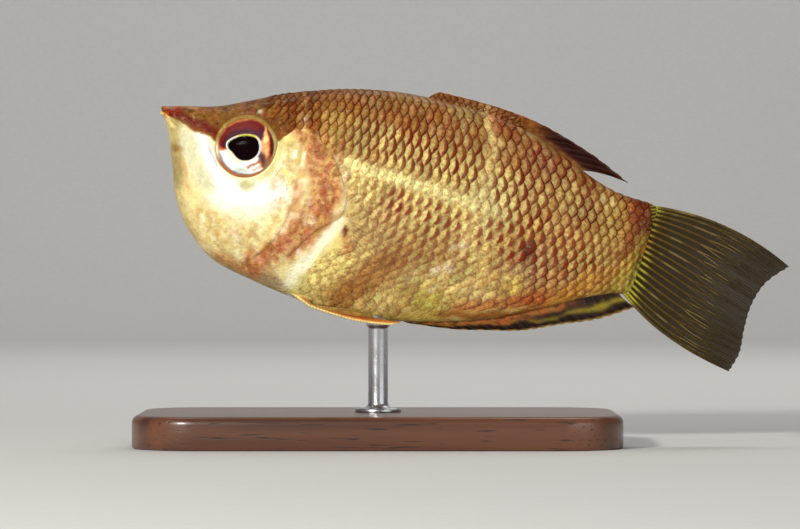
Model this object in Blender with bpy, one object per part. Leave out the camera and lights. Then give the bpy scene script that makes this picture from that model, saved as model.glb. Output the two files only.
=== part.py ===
"""A life-size chocolate gourami with a full throat, held nose-up over a small display stand.

The fish is drawn in its own frame, in millimetres: u runs back from the tip of the snout, v runs up, and w
runs out of the right flank. place() pitches that frame nose-up over the stand and turns it into metres.
"""
import math

import bmesh
import bpy
from mathutils import Matrix, Vector
from mathutils.bvhtree import BVHTree

# Stance: the snout's place over the middle of the stand's underside, and the pitch of the body
MM = 0.001
NOSE_UP = math.radians(16.25)
SNOUT_X = -19.6
SNOUT_Z = 30.6
GAP = 0.3
SHARP_EDGE = math.radians(40)

# Places beyond the body, for cutting plates and for lines that look for the skin
SIDE = 9.0
BELOW, ABOVE = -20.0, 14.0
AHEAD, BEHIND = -6.0, 60.0
OUTSIDE = 30.0

# Sections of the body, each on a slanting plane from a place on the back to one on the belly line:
# back u, back v, belly u, belly v, half-width, height of the widest place, fullness above, fullness below
SECTIONS = (
    (0.0, 0.12, 0.15, -0.34, 0.50, 0.50, 2.0, 2.0),      # tip of the snout
    (1.40, 0.74, 0.95, -1.75, 1.15, 0.45, 2.3, 2.2),     # lips
    (4.60, 1.64, 2.15, -4.45, 2.15, 0.52, 2.6, 2.3),     # in front of the eye
    (7.20, 2.90, 3.30, -7.25, 3.05, 0.56, 2.9, 2.4),     # middle of the eye
    (9.90, 4.30, 5.10, -9.70, 3.80, 0.57, 2.7, 2.4),     # behind the eye
    (12.8, 5.55, 8.10, -11.85, 4.35, 0.55, 2.4, 2.3),    # gill cover
    (16.4, 6.75, 12.6, -12.75, 4.60, 0.51, 2.2, 2.1),    # nape
    (20.3, 7.60, 17.8, -13.35, 4.50, 0.50, 2.0, 1.9),    # shoulder
    (24.6, 7.95, 23.4, -12.85, 4.15, 0.48, 1.9, 1.8),    # front of the dorsal fin
    (29.0, 7.95, 28.8, -11.45, 3.55, 0.46, 1.9, 1.8),    # front of the anal fin
    (33.5, 7.25, 34.0, -9.75, 2.80, 0.45, 1.9, 1.8),     # behind the belly
    (37.9, 5.55, 38.5, -7.70, 2.05, 0.45, 1.9, 1.9),     # start of the tail stalk
    (41.6, 4.40, 41.8, -5.75, 1.50, 0.46, 1.9, 1.9),     # middle of the tail stalk
    (45.0, 4.25, 44.5, -4.60, 1.10, 0.48, 1.9, 1.9),     # root of the tail fin
)
RINGS_PER_SECTION = 3
RING_POINTS = 44
NOSE = (-0.14, -0.10, 0.0)

# Soft swellings and hollows of the head: u, v, reach along, reach up, height
HEAD_FORMS = (
    (8.4, -1.2, 3.4, 3.4, 0.30),      # round of the eye
    (4.6, -0.6, 1.8, 1.0, -0.15),     # hollow in front of the eye
    (9.0, -6.2, 3.4, 2.2, 0.22),      # cheek
    (6.2, -9.6, 3.0, 2.2, 0.25),      # swollen floor of the mouth
)

# Rear edge of the gill cover, from the nape down to the throat, and the edges of the cover's own plate
GILL_EDGE = (
    (10.9, 6.6), (13.0, 3.7), (14.7, 1.3), (16.3, -0.1), (17.6, -1.7), (18.4, -3.3), (18.3, -4.9),
    (16.7, -6.6), (15.4, -8.5), (14.4, -10.4), (13.0, -14.2),
)
PLATE_FRONT = (
    (13.2, 1.6), (13.4, -1.0), (13.9, -3.6), (13.9, -5.9), (13.4, -8.3), (12.3, -10.2), (11.4, -11.6), (11.2, -12.4),
)
GILL_STEPS = 20
PLATE_STEPS = 12
PLATE_LIFT = 0.25
PLATE_DEPTH = 1.2
PLATE_TOP = (0.35, 0.30)
PLATE_REAR = 24.0

# Line where the tail stalk is named apart from the trunk
STALK_EDGE = ((37.0, 14.0), (37.2, 8.0), (37.0, 4.0), (37.6, -1.0), (38.6, -5.0), (39.4, -9.0), (40.0, -20.0))
STALK_STEPS = 12

# Mouth: a small gape that bends back from the tip of the snout to its corners
MOUTH_CENTRE_U = 1.60
MOUTH_SWEEP = math.radians(104)
MOUTH_TIP_V = -0.12
MOUTH_CORNER_V = -0.86
MOUTH_STEPS = 20
LIPS = ((0.30, 0.34), (-0.27, 0.30))
LIP_SUNK = 0.16
LIP_TAPER = 0.62
LIPS_MEET = 0.75
GROOVE_RADIUS = 0.13
NOSTRILS = ((3.9, 0.45, 0.20), (5.25, 0.10, 0.25))

# Eye: its middle, its rim, how far the clear dome stands out and how deep the ball sits
EYE = (8.38, -1.22)
EYE_RIM = 2.85
EYE_DOME = 0.85
EYE_SUNK = 0.46
EYE_DEPTH = 1.4
EYE_FORWARD = math.radians(12)
EYE_TURNS = 28
EYE_FRONT = (0.50, 0.82)

# Fins: half the thickness of the membrane and of a ray, and how thin both are at the tips
MEMBRANE = 0.26
RAY = 0.38
TIP_THINNING = 0.42
RAY_ROWS = 5

# Folded fins: spines, soft rays, where the root starts and ends, and the outer edge
DORSAL = (9, 8, 22.9, 39.4)
DORSAL_EDGE = ((23.9, 8.75), (26.6, 9.0), (29.8, 9.0), (33.0, 8.65), (36.2, 7.85), (39.5, 6.75), (42.6, 5.45))
ANAL = (8, 18, 27.3, 43.4)
ANAL_EDGE = ((28.4, -12.4), (31.2, -11.95), (34.1, -11.05), (37.1, -10.2), (40.2, -8.85), (43.2, -7.5), (45.9, -6.05))
FIN_ARCH = 0.1
SPINE_NOTCH = 0.34
SOFT_NOTCH = 0.10

CAUDAL_RAYS = 15
CAUDAL_ROWS = 8
CAUDAL_ROOT = ((45.25, 3.95), (45.35, 0.0), (44.95, -4.25))
CAUDAL_TIPS = ((58.9, 2.2), (57.3, 0.2), (56.6, -2.1), (56.55, -4.4), (56.7, -6.6), (56.2, -8.5))
CAUDAL_START = (math.radians(8), math.radians(-36))
CAUDAL_END = (math.radians(-24), math.radians(-8))
CAUDAL_PULL = 0.36
CAUDAL_SWAY = 0.9

PECTORAL_RAYS = 9
PECTORAL_ROOT = ((19.05, -5.15), (19.75, -7.05))
PECTORAL_TIPS = ((25.4, -5.6), (27.2, -7.2), (28.1, -8.7), (27.6, -10.0), (25.9, -10.6), (23.7, -10.2))
PECTORAL_ARCH = 0.5
PECTORAL_LIFT = 1.3

# Pelvic fins: where the rays start and end along the belly, how far the lowest hangs below it, and their lean
PELVIC_ROOT = (15.9, 17.3)
PELVIC_TIPS = ((25.6,), (26.2,), (24.9,), (23.5,), (22.2,), (21.0,))
PELVIC_HANG = ((0.24,), (0.50,), (0.72,), (0.86,), (0.92,), (0.84,))
PELVIC_OUT = (1.05, 1.75)

# Display stand
BASE_LENGTH = 44.0
BASE_WIDTH = 26.0
BASE_HEIGHT = 3.0
BASE_CORNER = 6.0
CORNER_STEPS = 6
BASE_EDGE = 0.7
ROD_RADIUS = 0.9
ROD_TURNS = 20
FOOT_RADIUS = 2.1
FOOT_HEIGHT = 0.6
FOOT_SLOPE = 0.3


def place(point):
    """Turns a place in the fish's frame, mm, into a place over the stand, m."""
    u, v, w = point
    x = SNOUT_X + u * math.cos(NOSE_UP) + v * math.sin(NOSE_UP)
    z = SNOUT_Z - u * math.sin(NOSE_UP) + v * math.cos(NOSE_UP)
    return Vector((x, w, z)) * MM


def smooth(rows, at):
    """Reads a table between its rows, on a Catmull-Rom curve; `at` runs from 0 to 1 over the table."""
    at = min(max(at, 0.0), 1.0) * (len(rows) - 1)
    row = min(int(at), len(rows) - 2)
    t = at - row
    around = [rows[min(max(row + step, 0), len(rows) - 1)] for step in (-1, 0, 1, 2)]
    return tuple(
        b + 0.5 * t * (c - a + t * (2 * a - 5 * b + 4 * c - d + t * (3 * (b - c) + d - a)))
        for a, b, c, d in zip(*around)
    )


def material(name, colour, roughness, alpha=1.0):
    finish = bpy.data.materials.new(name)
    finish.use_nodes = True
    shader = finish.node_tree.nodes["Principled BSDF"]
    shader.inputs["Base Color"].default_value = (*colour, 1.0)
    shader.inputs["Roughness"].default_value = roughness
    shader.inputs["Alpha"].default_value = alpha
    return finish


def solid(name, points, faces, finish=None):
    """Makes one closed object from places in metres, with its faces turned outwards."""
    mesh = bpy.data.meshes.new(name)
    mesh.from_pydata([tuple(point) for point in points], [], faces)
    form = bmesh.new()
    form.from_mesh(mesh)
    bmesh.ops.recalc_face_normals(form, faces=form.faces)
    if form.calc_volume(signed=True) < 0:
        bmesh.ops.reverse_faces(form, faces=form.faces)
    form.to_mesh(mesh)
    form.free()
    mesh.shade_smooth()
    mesh.set_sharp_from_angle(angle=SHARP_EDGE)
    if finish:
        mesh.materials.append(finish)
    piece = bpy.data.objects.new(name, mesh)
    bpy.context.scene.collection.objects.link(piece)
    return piece


def keep_largest(mesh):
    """Drops every loose scrap of a mesh but its largest closed surface."""
    form = bmesh.new()
    form.from_mesh(mesh)
    left = set(form.verts)
    islands = []
    while left:
        island = {left.pop()}
        edge = list(island)
        while edge:
            near = {link.other_vert(vert) for vert in edge for link in vert.link_edges} - island
            island |= near
            edge = list(near)
        left -= island
        islands.append(island)
    islands.sort(key=len)
    bmesh.ops.delete(form, geom=[vert for island in islands[:-1] for vert in island], context="VERTS")
    form.to_mesh(mesh)
    form.free()


def combine(piece, others, operation):
    """Joins the other solids to a piece, cuts them from it or keeps what they share, and removes them."""
    group = bpy.data.collections.new("others")
    bpy.context.scene.collection.children.link(group)
    for other in others:
        bpy.context.scene.collection.objects.unlink(other)
        group.objects.link(other)
    step = piece.modifiers.new("Boolean", "BOOLEAN")
    step.operation = operation
    step.solver = "EXACT"
    if len(others) == 1:
        step.object = others[0]
    else:
        step.operand_type = "COLLECTION"
        step.collection = group
    bpy.context.view_layer.update()
    result = bpy.data.meshes.new_from_object(piece.evaluated_get(bpy.context.evaluated_depsgraph_get()))
    piece.modifiers.remove(step)
    keep_largest(result)
    piece.data = result
    for other in others:
        bpy.data.objects.remove(other)
    bpy.data.collections.remove(group)
    result.shade_smooth()
    result.set_sharp_from_angle(angle=SHARP_EDGE)


def swelling(u, v):
    """How far the soft forms of the head move its surface out at one place of the side view."""
    return sum(
        height * math.exp(-(((u - at_u) / along) ** 2) - ((v - at_v) / up) ** 2)
        for at_u, at_v, along, up, height in HEAD_FORMS
    )


def ring(at, lift):
    """One closed section of the body, from the back down the right flank and up the left one."""
    back_u, back_v, belly_u, belly_v, half, widest, above, below = smooth(SECTIONS, at)
    points = []
    for step in range(RING_POINTS):
        turn = math.tau * step / RING_POINTS
        down = 0.5 - 0.5 * math.cos(turn)
        if down < widest:
            width = half * math.sqrt(max(1 - ((widest - down) / widest) ** above, 0))
        else:
            width = half * math.sqrt(max(1 - ((down - widest) / (1 - widest)) ** below, 0))
        u = back_u + (belly_u - back_u) * down
        v = back_v + (belly_v - back_v) * down
        side = math.sin(turn)
        out = width + (lift + swelling(u, v)) * abs(side)
        points.append((u, v, math.copysign(out, side) if abs(side) > 1e-9 else 0.0))
    return points


def body_form(lift=0.0):
    """Points and faces of the whole body, in the fish's frame, its flanks moved out by `lift`."""
    rings = (len(SECTIONS) - 1) * RINGS_PER_SECTION + 1
    points = [point for step in range(rings) for point in ring(step / (rings - 1), lift)]
    faces = []
    for row in range(rings - 1):
        for step in range(RING_POINTS):
            start = row * RING_POINTS + step
            across = row * RING_POINTS + (step + 1) % RING_POINTS
            faces.append((start, across, across + RING_POINTS, start + RING_POINTS))
    nose, tail = len(points), len(points) + 1
    points.append(NOSE)
    last = smooth(SECTIONS, 1.0)
    points.append(((last[0] + last[2]) / 2, (last[1] + last[3]) / 2, 0.0))
    for step in range(RING_POINTS):
        across = (step + 1) % RING_POINTS
        faces.append((nose, across, step))
        end = (rings - 1) * RING_POINTS
        faces.append((tail, end + step, end + across))
    return points, faces


def body_piece(name, lift=0.0, finish=None):
    points, faces = body_form(lift)
    return solid(name, [place(point) for point in points], faces, finish)


SURFACE = BVHTree.FromPolygons(*body_form())


def flank(u, v):
    """Half-width of the body at one place of the side view, or 0 off its outline."""
    hit = SURFACE.ray_cast(Vector((u, v, OUTSIDE)), Vector((0, 0, -1)))[0]
    return hit.z if hit else 0.0


def back_height(u):
    return SURFACE.ray_cast(Vector((u, OUTSIDE, 0)), Vector((0, -1, 0)))[0].y


def belly_height(u, w=0.0):
    return SURFACE.ray_cast(Vector((u, -OUTSIDE, w)), Vector((0, 1, 0)))[0].y


def slab(name, outline, low, high):
    """A plate with the given outline in side view, between two distances from the middle plane."""
    count = len(outline)
    points = [place((u, v, w)) for w in (low, high) for u, v in outline]
    sides = [(step, (step + 1) % count, count + (step + 1) % count, count + step) for step in range(count)]
    ends = [tuple(range(count)), tuple(range(2 * count - 1, count - 1, -1))]
    return solid(name, points, sides + ends)


def line(rows, steps, shift=0.0):
    """A smooth line through a few places of the side view, moved to its left by `shift`."""
    places = [smooth(rows, step / steps) for step in range(steps + 1)]
    moved = []
    for step, (u, v) in enumerate(places):
        before, after = places[max(step - 1, 0)], places[min(step + 1, steps)]
        along_u, along_v = after[0] - before[0], after[1] - before[1]
        length = math.hypot(along_u, along_v)
        moved.append((u - along_v / length * shift, v + along_u / length * shift))
    return moved


def tube(name, places, radii, sides=8, finish=None):
    """A closed round bar along places in the fish's frame, with a radius at each."""
    points, faces = [], []
    count = len(places)
    for step, at in enumerate(places):
        along = (places[min(step + 1, count - 1)] - places[max(step - 1, 0)]).normalized()
        across = along.cross(Vector((0, 1, 0))).normalized()
        up = across.cross(along)
        for turn in range(sides):
            angle = math.tau * turn / sides
            points.append(at + (across * math.cos(angle) + up * math.sin(angle)) * radii[step])
    for step in range(count - 1):
        for turn in range(sides):
            start, next_one = step * sides + turn, step * sides + (turn + 1) % sides
            faces.append((start, next_one, next_one + sides, start + sides))
    faces.append(tuple(range(sides)))
    faces.append(tuple(range(len(points) - 1, len(points) - 1 - sides, -1)))
    return solid(name, [place(point) for point in points], faces, finish)


def mouth_line(rise, out):
    """Places along the mouth, from its left corner round the tip to the right one, `out` from the skin.

    A line that rises above or below the gape runs back to it at the corners.
    """
    places = []
    for step in range(MOUTH_STEPS + 1):
        side = 2 * step / MOUTH_STEPS - 1
        angle = MOUTH_SWEEP * side
        v = MOUTH_TIP_V + (MOUTH_CORNER_V - MOUTH_TIP_V) * side * side
        v += rise * (1 - LIPS_MEET * side ** 4)
        outwards = Vector((-math.cos(angle), 0, math.sin(angle)))
        on_skin = SURFACE.ray_cast(Vector((MOUTH_CENTRE_U, v, 0)), outwards)[0]
        places.append(on_skin + outwards * out)
    return places


def lips(head):
    """Rounds both lips out of the snout, thickest at its tip and thin at the corners."""
    rolls = []
    for rise, radius in LIPS:
        sides = [2 * step / MOUTH_STEPS - 1 for step in range(MOUTH_STEPS + 1)]
        radii = [radius * (1 - LIP_TAPER * side * side) for side in sides]
        rolls.append(tube("lip", mouth_line(rise, -LIP_SUNK), radii, sides=10))
    combine(head, rolls, "UNION")


def eye_matrix(side):
    """Sets a turned eye, drawn along +Z, on one flank."""
    u, v = EYE
    seat = Vector((u, v, side * (flank(u, v) - EYE_SUNK)))
    outwards = Vector((-math.sin(EYE_FORWARD), 0, side * math.cos(EYE_FORWARD)))
    return Matrix.Translation(seat) @ outwards.to_track_quat("Z", "Y").to_matrix().to_4x4()


def turned(name, profile, matrix, finish=None):
    """Turns a profile of (radius, height) pairs, both ends on the axis, about the matrix's own Z."""
    points = [matrix @ Vector((0, 0, profile[0][1]))]
    for radius, height in profile[1:-1]:
        for turn in range(EYE_TURNS):
            angle = math.tau * turn / EYE_TURNS
            points.append(matrix @ Vector((radius * math.cos(angle), radius * math.sin(angle), height)))
    points.append(matrix @ Vector((0, 0, profile[-1][1])))
    faces = []
    rows = len(profile) - 2
    for turn in range(EYE_TURNS):
        across = (turn + 1) % EYE_TURNS
        faces.append((0, 1 + across, 1 + turn))
        for row in range(rows - 1):
            low, high = 1 + row * EYE_TURNS, 1 + (row + 1) * EYE_TURNS
            faces.append((low + turn, low + across, high + across, high + turn))
        top = 1 + (rows - 1) * EYE_TURNS
        faces.append((top + turn, top + across, len(points) - 1))
    return solid(name, [place(point) for point in points], faces, finish)


def eye(name, side, finish):
    """An eyeball with a rounded rim round a clear dome."""
    rim, deep = EYE_RIM, EYE_DEPTH
    base, span = EYE_FRONT
    ball = [(0, -deep), (rim * 0.55, -deep * 0.86), (rim * 0.88, -deep * 0.45), (rim, 0.0)]
    front = [(rim * 0.98, 0.30), (rim * 0.90, 0.42), (rim * 0.86, 0.40), (rim * span, base)]
    cap = [(rim * span * math.cos(math.radians(a)), base + (EYE_DOME - base) * math.sin(math.radians(a)))
           for a in (20, 40, 62)]
    return turned(name, ball + front + cap + [(0, EYE_DOME)], eye_matrix(side), finish)


def socket(side):
    """The hollow that an eye sits in."""
    rim, deep = EYE_RIM + GAP, EYE_DEPTH + GAP
    profile = [(0, -deep), (rim * 0.55, -deep * 0.88), (rim * 0.9, -deep * 0.5), (rim, -0.1), (rim, rim), (0, rim)]
    return turned("socket", profile, eye_matrix(side))


def nostril(u, v, radius, side):
    at = Vector((u, v, side * flank(u, v)))
    return turned("nostril", [(0, -radius), (radius, -0.2 * radius), (radius, radius), (0, radius * 1.5)],
                  Matrix.Translation(at) @ Vector((0, 0, side)).to_track_quat("Z", "Y").to_matrix().to_4x4())


def gill_line(shift):
    """Rear edge of the gill cover in side view, run on past the back and the belly."""
    edge = line(GILL_EDGE, GILL_STEPS, shift)
    return [(edge[0][0] - 1.0, ABOVE)] + edge + [(edge[-1][0] - 1.0, BELOW)]


def plate_outline(grow):
    """Outline of one gill cover's plate in side view; its rear runs past the head's own cut."""
    front = line(PLATE_FRONT, PLATE_STEPS, -grow)
    top = (front[0][0] + PLATE_TOP[0], front[0][1] + PLATE_TOP[1] + grow / 2)
    return [(PLATE_REAR, BELOW), (PLATE_REAR, top[1] + (GAP + grow) / 2), top] + front + [(front[-1][0], BELOW)]


def head_and_covers(skin):
    front = gill_line(-GAP / 2) + [(AHEAD, BELOW), (AHEAD, ABOVE)]
    head = body_piece("head", finish=skin)
    combine(head, [slab("front", front, -SIDE, SIDE)], "INTERSECT")
    lips(head)
    groove = mouth_line(0.0, 0.0)
    cuts = [tube("mouth", groove, [GROOVE_RADIUS] * len(groove), sides=6)]
    for name, side in (("left", -1), ("right", 1)):
        cover = body_piece("gill_cover_" + name, PLATE_LIFT, skin)
        combine(cover, [slab("front", front, -SIDE, SIDE)], "INTERSECT")
        combine(cover, [slab("plate", plate_outline(0.0), *sorted((side * PLATE_DEPTH, side * SIDE)))], "INTERSECT")
        cuts.append(slab("pocket", plate_outline(GAP), *sorted((side * (PLATE_DEPTH - GAP), side * SIDE))))
        cuts.append(socket(side))
        cuts += [nostril(u, v, radius, side) for u, v, radius in NOSTRILS]
    combine(head, cuts, "DIFFERENCE")


def trunk_and_stalk(skin):
    torso = body_piece("torso", finish=skin)
    middle = gill_line(GAP / 2) + line(STALK_EDGE, STALK_STEPS, -GAP / 2)[::-1]
    combine(torso, [slab("middle", middle, -SIDE, SIDE)], "INTERSECT")
    stalk = body_piece("tail_stalk", finish=skin)
    rear = line(STALK_EDGE, STALK_STEPS, GAP / 2) + [(BEHIND, BELOW), (BEHIND, ABOVE)]
    combine(stalk, [slab("rear", rear, -SIDE, SIDE)], "INTERSECT")


def fin(name, rays, finish, between=1, notches=(0.02,), facing=None):
    """A closed fin whose rays stand out of its membrane as ridges on both faces.

    `rays` holds one list of places for each ray, root to tip, and `notches` how far the membrane between two
    tips falls short of them, its last number holding for the rest. Both faces get the same triangles. A fin
    whose rays leave their roots almost in line says which way it is `facing`.
    """
    rows = len(rays[0])
    columns = []
    for step, ray in enumerate(rays):
        columns.append((ray, RAY))
        if step + 1 == len(rays):
            break
        for gap in range(between):
            part = 0.5 + ((gap + 1) / (between + 1) - 0.5) * 1.5
            middle = [a.lerp(b, part) for a, b in zip(ray, rays[step + 1])]
            short = notches[min(step, len(notches) - 1)] / (rows - 1)
            middle = [at.lerp(middle[0], short * row) for row, at in enumerate(middle)]
            columns.append((middle, MEMBRANE))
    faces_out = []
    for column, (places, half) in enumerate(columns):
        before, after = columns[max(column - 1, 0)][0], columns[min(column + 1, len(columns) - 1)][0]
        for row, at in enumerate(places):
            along = places[min(row + 1, rows - 1)] - places[max(row - 1, 0)]
            normal = facing or along.cross(after[row] - before[row]).normalized()
            reach = row / (rows - 1)
            thin = 1 - (1 - TIP_THINNING) * reach ** 2
            faces_out.append((at + normal * half * thin, at - normal * half * thin))
    count = len(faces_out)
    points = [place(pair[0]) for pair in faces_out] + [place(pair[1]) for pair in faces_out]
    triangles = []
    for column in range(len(columns) - 1):
        for row in range(rows - 1):
            a, b = column * rows + row, (column + 1) * rows + row
            for one, two, three in ((a, b, b + 1), (a, b + 1, a + 1)):
                triangles.append((one, two, three))
                triangles.append((one + count, three + count, two + count))
    last = (len(columns) - 1) * rows
    loop = [column * rows for column in range(len(columns))]
    loop += [last + row for row in range(1, rows)]
    loop += [column * rows + rows - 1 for column in range(len(columns) - 2, -1, -1)]
    loop += list(range(rows - 2, 0, -1))
    for step, start in enumerate(loop):
        end = loop[(step + 1) % len(loop)]
        triangles.append((start, end + count, end))
        triangles.append((start, start + count, end + count))
    return solid(name, points, triangles, finish)


def folded_fin(name, finish, layout, edge, height, gap):
    """A fin laid back along the middle of the back or the belly, its first rays stiff, pointed spines."""
    spines, soft, front, rear = layout
    count = spines + soft
    rays = []
    for step in range(count):
        part = step / (count - 1)
        root_u = front + (rear - front) * part
        root = Vector((root_u, height(root_u) + gap, 0))
        tip = Vector((*smooth(edge, part), 0))
        arch = Vector((-FIN_ARCH, math.copysign(FIN_ARCH, gap), 0)) * (tip - root).length
        steps = (row / (RAY_ROWS - 1) for row in range(RAY_ROWS))
        rays.append([root.lerp(tip, t) + arch * 2 * t * (1 - t) for t in steps])
    return fin(name, rays, finish, notches=[SPINE_NOTCH] * spines + [SOFT_NOTCH])


def caudal_fin(finish):
    """The spread tail fin: each ray leaves the stalk at its own angle and bends to its tip."""
    rays = []
    for step in range(CAUDAL_RAYS):
        part = step / (CAUDAL_RAYS - 1)
        root = Vector((*smooth(CAUDAL_ROOT, part), 0))
        tip = Vector((*smooth(CAUDAL_TIPS, part), 0))
        start = CAUDAL_START[0] + (CAUDAL_START[1] - CAUDAL_START[0]) * part
        end = CAUDAL_END[0] + (CAUDAL_END[1] - CAUDAL_END[0]) * part
        length = (tip - root).length
        leave = root + Vector((math.cos(start), math.sin(start), 0)) * length * CAUDAL_PULL
        arrive = tip - Vector((math.cos(end), math.sin(end), 0)) * length * CAUDAL_PULL
        ray = []
        for row in range(CAUDAL_ROWS):
            t = row / (CAUDAL_ROWS - 1)
            at = root * (1 - t) ** 3 + leave * 3 * t * (1 - t) ** 2 + arrive * 3 * t * t * (1 - t) + tip * t ** 3
            at.z = CAUDAL_SWAY * t * t * math.cos(math.pi * (part - 0.25))
            ray.append(at)
        rays.append(ray)
    return fin("caudal_fin", rays, finish, between=2)


def pectoral_fin(name, side, finish):
    """A rounded fan that lies back over the flank behind the gill cover, standing off towards its tip."""
    rays = []
    for step in range(PECTORAL_RAYS):
        part = step / (PECTORAL_RAYS - 1)
        root_u, root_v = smooth(PECTORAL_ROOT, part)
        tip_u, tip_v = smooth(PECTORAL_TIPS, part)
        ray = []
        for row in range(RAY_ROWS + 1):
            t = row / RAY_ROWS
            u = root_u + (tip_u - root_u) * t
            v = root_v + (tip_v - root_v) * t + PECTORAL_ARCH * t * (1 - t)
            out = flank(u, v) + GAP + RAY + PECTORAL_LIFT * t ** 1.4
            ray.append(Vector((u, v, side * out)))
        rays.append(ray)
    return fin(name, rays, finish)


def pelvic_fin(name, side, finish):
    """A narrow fin folded back under the belly, its first soft ray drawn out into a short thread."""
    rays = []
    for step, (tip_u,) in enumerate(PELVIC_TIPS):
        part = step / (len(PELVIC_TIPS) - 1)
        root_u = PELVIC_ROOT[0] + (PELVIC_ROOT[1] - PELVIC_ROOT[0]) * part
        ray = []
        for row in range(RAY_ROWS + 2):
            t = row / (RAY_ROWS + 1)
            u = root_u + (tip_u - root_u) * t
            out = PELVIC_OUT[0] + (PELVIC_OUT[1] - PELVIC_OUT[0]) * t
            hang = smooth(PELVIC_HANG, t)[0] * (1 - part)
            ray.append(Vector((u, belly_height(u, out - RAY) - GAP - hang, side * out)))
        rays.append(ray)
    return fin(name, rays, finish, facing=Vector((0, 0, side)))


def stand(finish, metal):
    """A flat base with rounded corners, and one rod whose top follows the belly."""
    outline = []
    for corner in range(4):
        centre_x = (BASE_LENGTH / 2 - BASE_CORNER) * (1 if corner in (0, 3) else -1)
        centre_y = (BASE_WIDTH / 2 - BASE_CORNER) * (1 if corner in (0, 1) else -1)
        for step in range(CORNER_STEPS + 1):
            angle = math.pi / 2 * (corner + step / CORNER_STEPS)
            outline.append((centre_x, centre_y, math.cos(angle), math.sin(angle)))
    points, faces = [], []
    for height, inset in ((0, 0), (BASE_HEIGHT - BASE_EDGE, 0), (BASE_HEIGHT, BASE_EDGE)):
        for x, y, out_x, out_y in outline:
            radius = BASE_CORNER - inset
            points.append(Vector((x + out_x * radius, y + out_y * radius, height)) * MM)
    count = len(outline)
    for row in range(2):
        for step in range(count):
            start, across = row * count + step, row * count + (step + 1) % count
            faces.append((start, across, across + count, start + count))
    faces += [tuple(range(count - 1, -1, -1)), tuple(range(2 * count, 3 * count))]
    solid("stand_base", points, faces, finish)

    skin = BVHTree.FromPolygons([place(point) for point in body_form()[0]], body_form()[1])
    foot = BASE_HEIGHT + GAP
    rings = ((foot, FOOT_RADIUS), (foot + FOOT_HEIGHT, FOOT_RADIUS), (foot + FOOT_HEIGHT + FOOT_SLOPE, ROD_RADIUS))
    points = [Vector((0, 0, foot)) * MM]
    for height, radius in rings + ((None, ROD_RADIUS), (None, 0.0)):
        for turn in range(ROD_TURNS if radius else 1):
            angle = math.tau * turn / ROD_TURNS
            at = Vector((radius * math.cos(angle), radius * math.sin(angle), height or 0.0)) * MM
            if height is None:
                at.z = skin.ray_cast(at, Vector((0, 0, 1)))[0].z - GAP * MM
            points.append(at)
    faces = []
    rows = len(rings)
    for turn in range(ROD_TURNS):
        across = (turn + 1) % ROD_TURNS
        faces.append((0, 1 + across, 1 + turn))
        for row in range(rows):
            low, high = 1 + row * ROD_TURNS, 1 + (row + 1) * ROD_TURNS
            faces.append((low + turn, low + across, high + across, high + turn))
        faces.append((1 + rows * ROD_TURNS + turn, 1 + rows * ROD_TURNS + across, len(points) - 1))
    solid("stand_rod", points, faces, metal)


def main():
    for thing in list(bpy.data.objects):
        bpy.data.objects.remove(thing)

    head_skin = material("cream and brown skin", (0.62, 0.50, 0.32), 0.35)
    flank_skin = material("scaled brown flank", (0.40, 0.20, 0.09), 0.38)
    eye_finish = material("eye", (0.10, 0.03, 0.02), 0.06)
    dark_fin = material("red-brown fin", (0.18, 0.06, 0.03), 0.40)
    clear_fin = material("clear fin", (0.42, 0.30, 0.18), 0.30, 0.6)
    base_finish = material("black lacquer", (0.03, 0.03, 0.03), 0.25)
    rod_finish = material("brushed rod", (0.60, 0.60, 0.60), 0.30)

    head_and_covers(head_skin)
    trunk_and_stalk(flank_skin)
    folded_fin("dorsal_fin", dark_fin, DORSAL, DORSAL_EDGE, back_height, GAP)
    folded_fin("anal_fin", dark_fin, ANAL, ANAL_EDGE, belly_height, -GAP)
    caudal_fin(clear_fin)
    for name, side in (("left", -1), ("right", 1)):
        eye("eye_" + name, side, eye_finish)
        pectoral_fin("pectoral_fin_" + name, side, clear_fin)
        pelvic_fin("pelvic_fin_" + name, side, dark_fin)
    stand(base_finish, rod_finish)


main()
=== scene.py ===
# %% [markdown]
# # A chocolate gourami on a display stand
# The part's solids already give the fish its true size, its stance and its outline. This lesson dresses them:
# one unbroken skin with lips, folds and eye sockets, a coat of real scales, clear fins with jointed rays,
# layered eyes, and a small wooden stand with a steel rod.
#
# Everything is drawn in the fish's own frame, in millimetres: u runs back from the tip of the snout, v runs
# up, and w runs out of the right flank. One function turns that frame nose-up over the stand, in metres.

# %% Load the fixed frame
import math

import bmesh
import bpy
import numpy as np
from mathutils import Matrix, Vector
from mathutils.bvhtree import BVHTree


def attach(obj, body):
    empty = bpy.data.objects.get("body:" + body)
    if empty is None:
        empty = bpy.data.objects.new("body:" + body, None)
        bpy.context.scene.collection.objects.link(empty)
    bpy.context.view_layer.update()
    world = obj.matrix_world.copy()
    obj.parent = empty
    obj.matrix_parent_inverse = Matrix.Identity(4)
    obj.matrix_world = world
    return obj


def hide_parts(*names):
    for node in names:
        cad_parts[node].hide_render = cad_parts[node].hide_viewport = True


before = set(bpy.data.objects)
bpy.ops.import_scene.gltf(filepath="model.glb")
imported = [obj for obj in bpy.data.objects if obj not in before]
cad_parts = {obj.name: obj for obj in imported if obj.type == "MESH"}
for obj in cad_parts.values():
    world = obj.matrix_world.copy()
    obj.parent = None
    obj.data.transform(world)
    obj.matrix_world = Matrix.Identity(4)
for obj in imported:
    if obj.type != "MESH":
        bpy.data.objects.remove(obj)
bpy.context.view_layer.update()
print("nodes:", ", ".join(sorted(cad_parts)))

# %% [markdown]
# ## From the fish to the room
# A fish model is far easier to draw level and straight than tilted. So all shapes are worked out in the
# fish's frame with numpy arrays, and are turned into the room's frame only when a mesh is made. The side view
# also has a simple link to the picture's frame of 800 x 529: markings are given as places in it.

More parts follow.
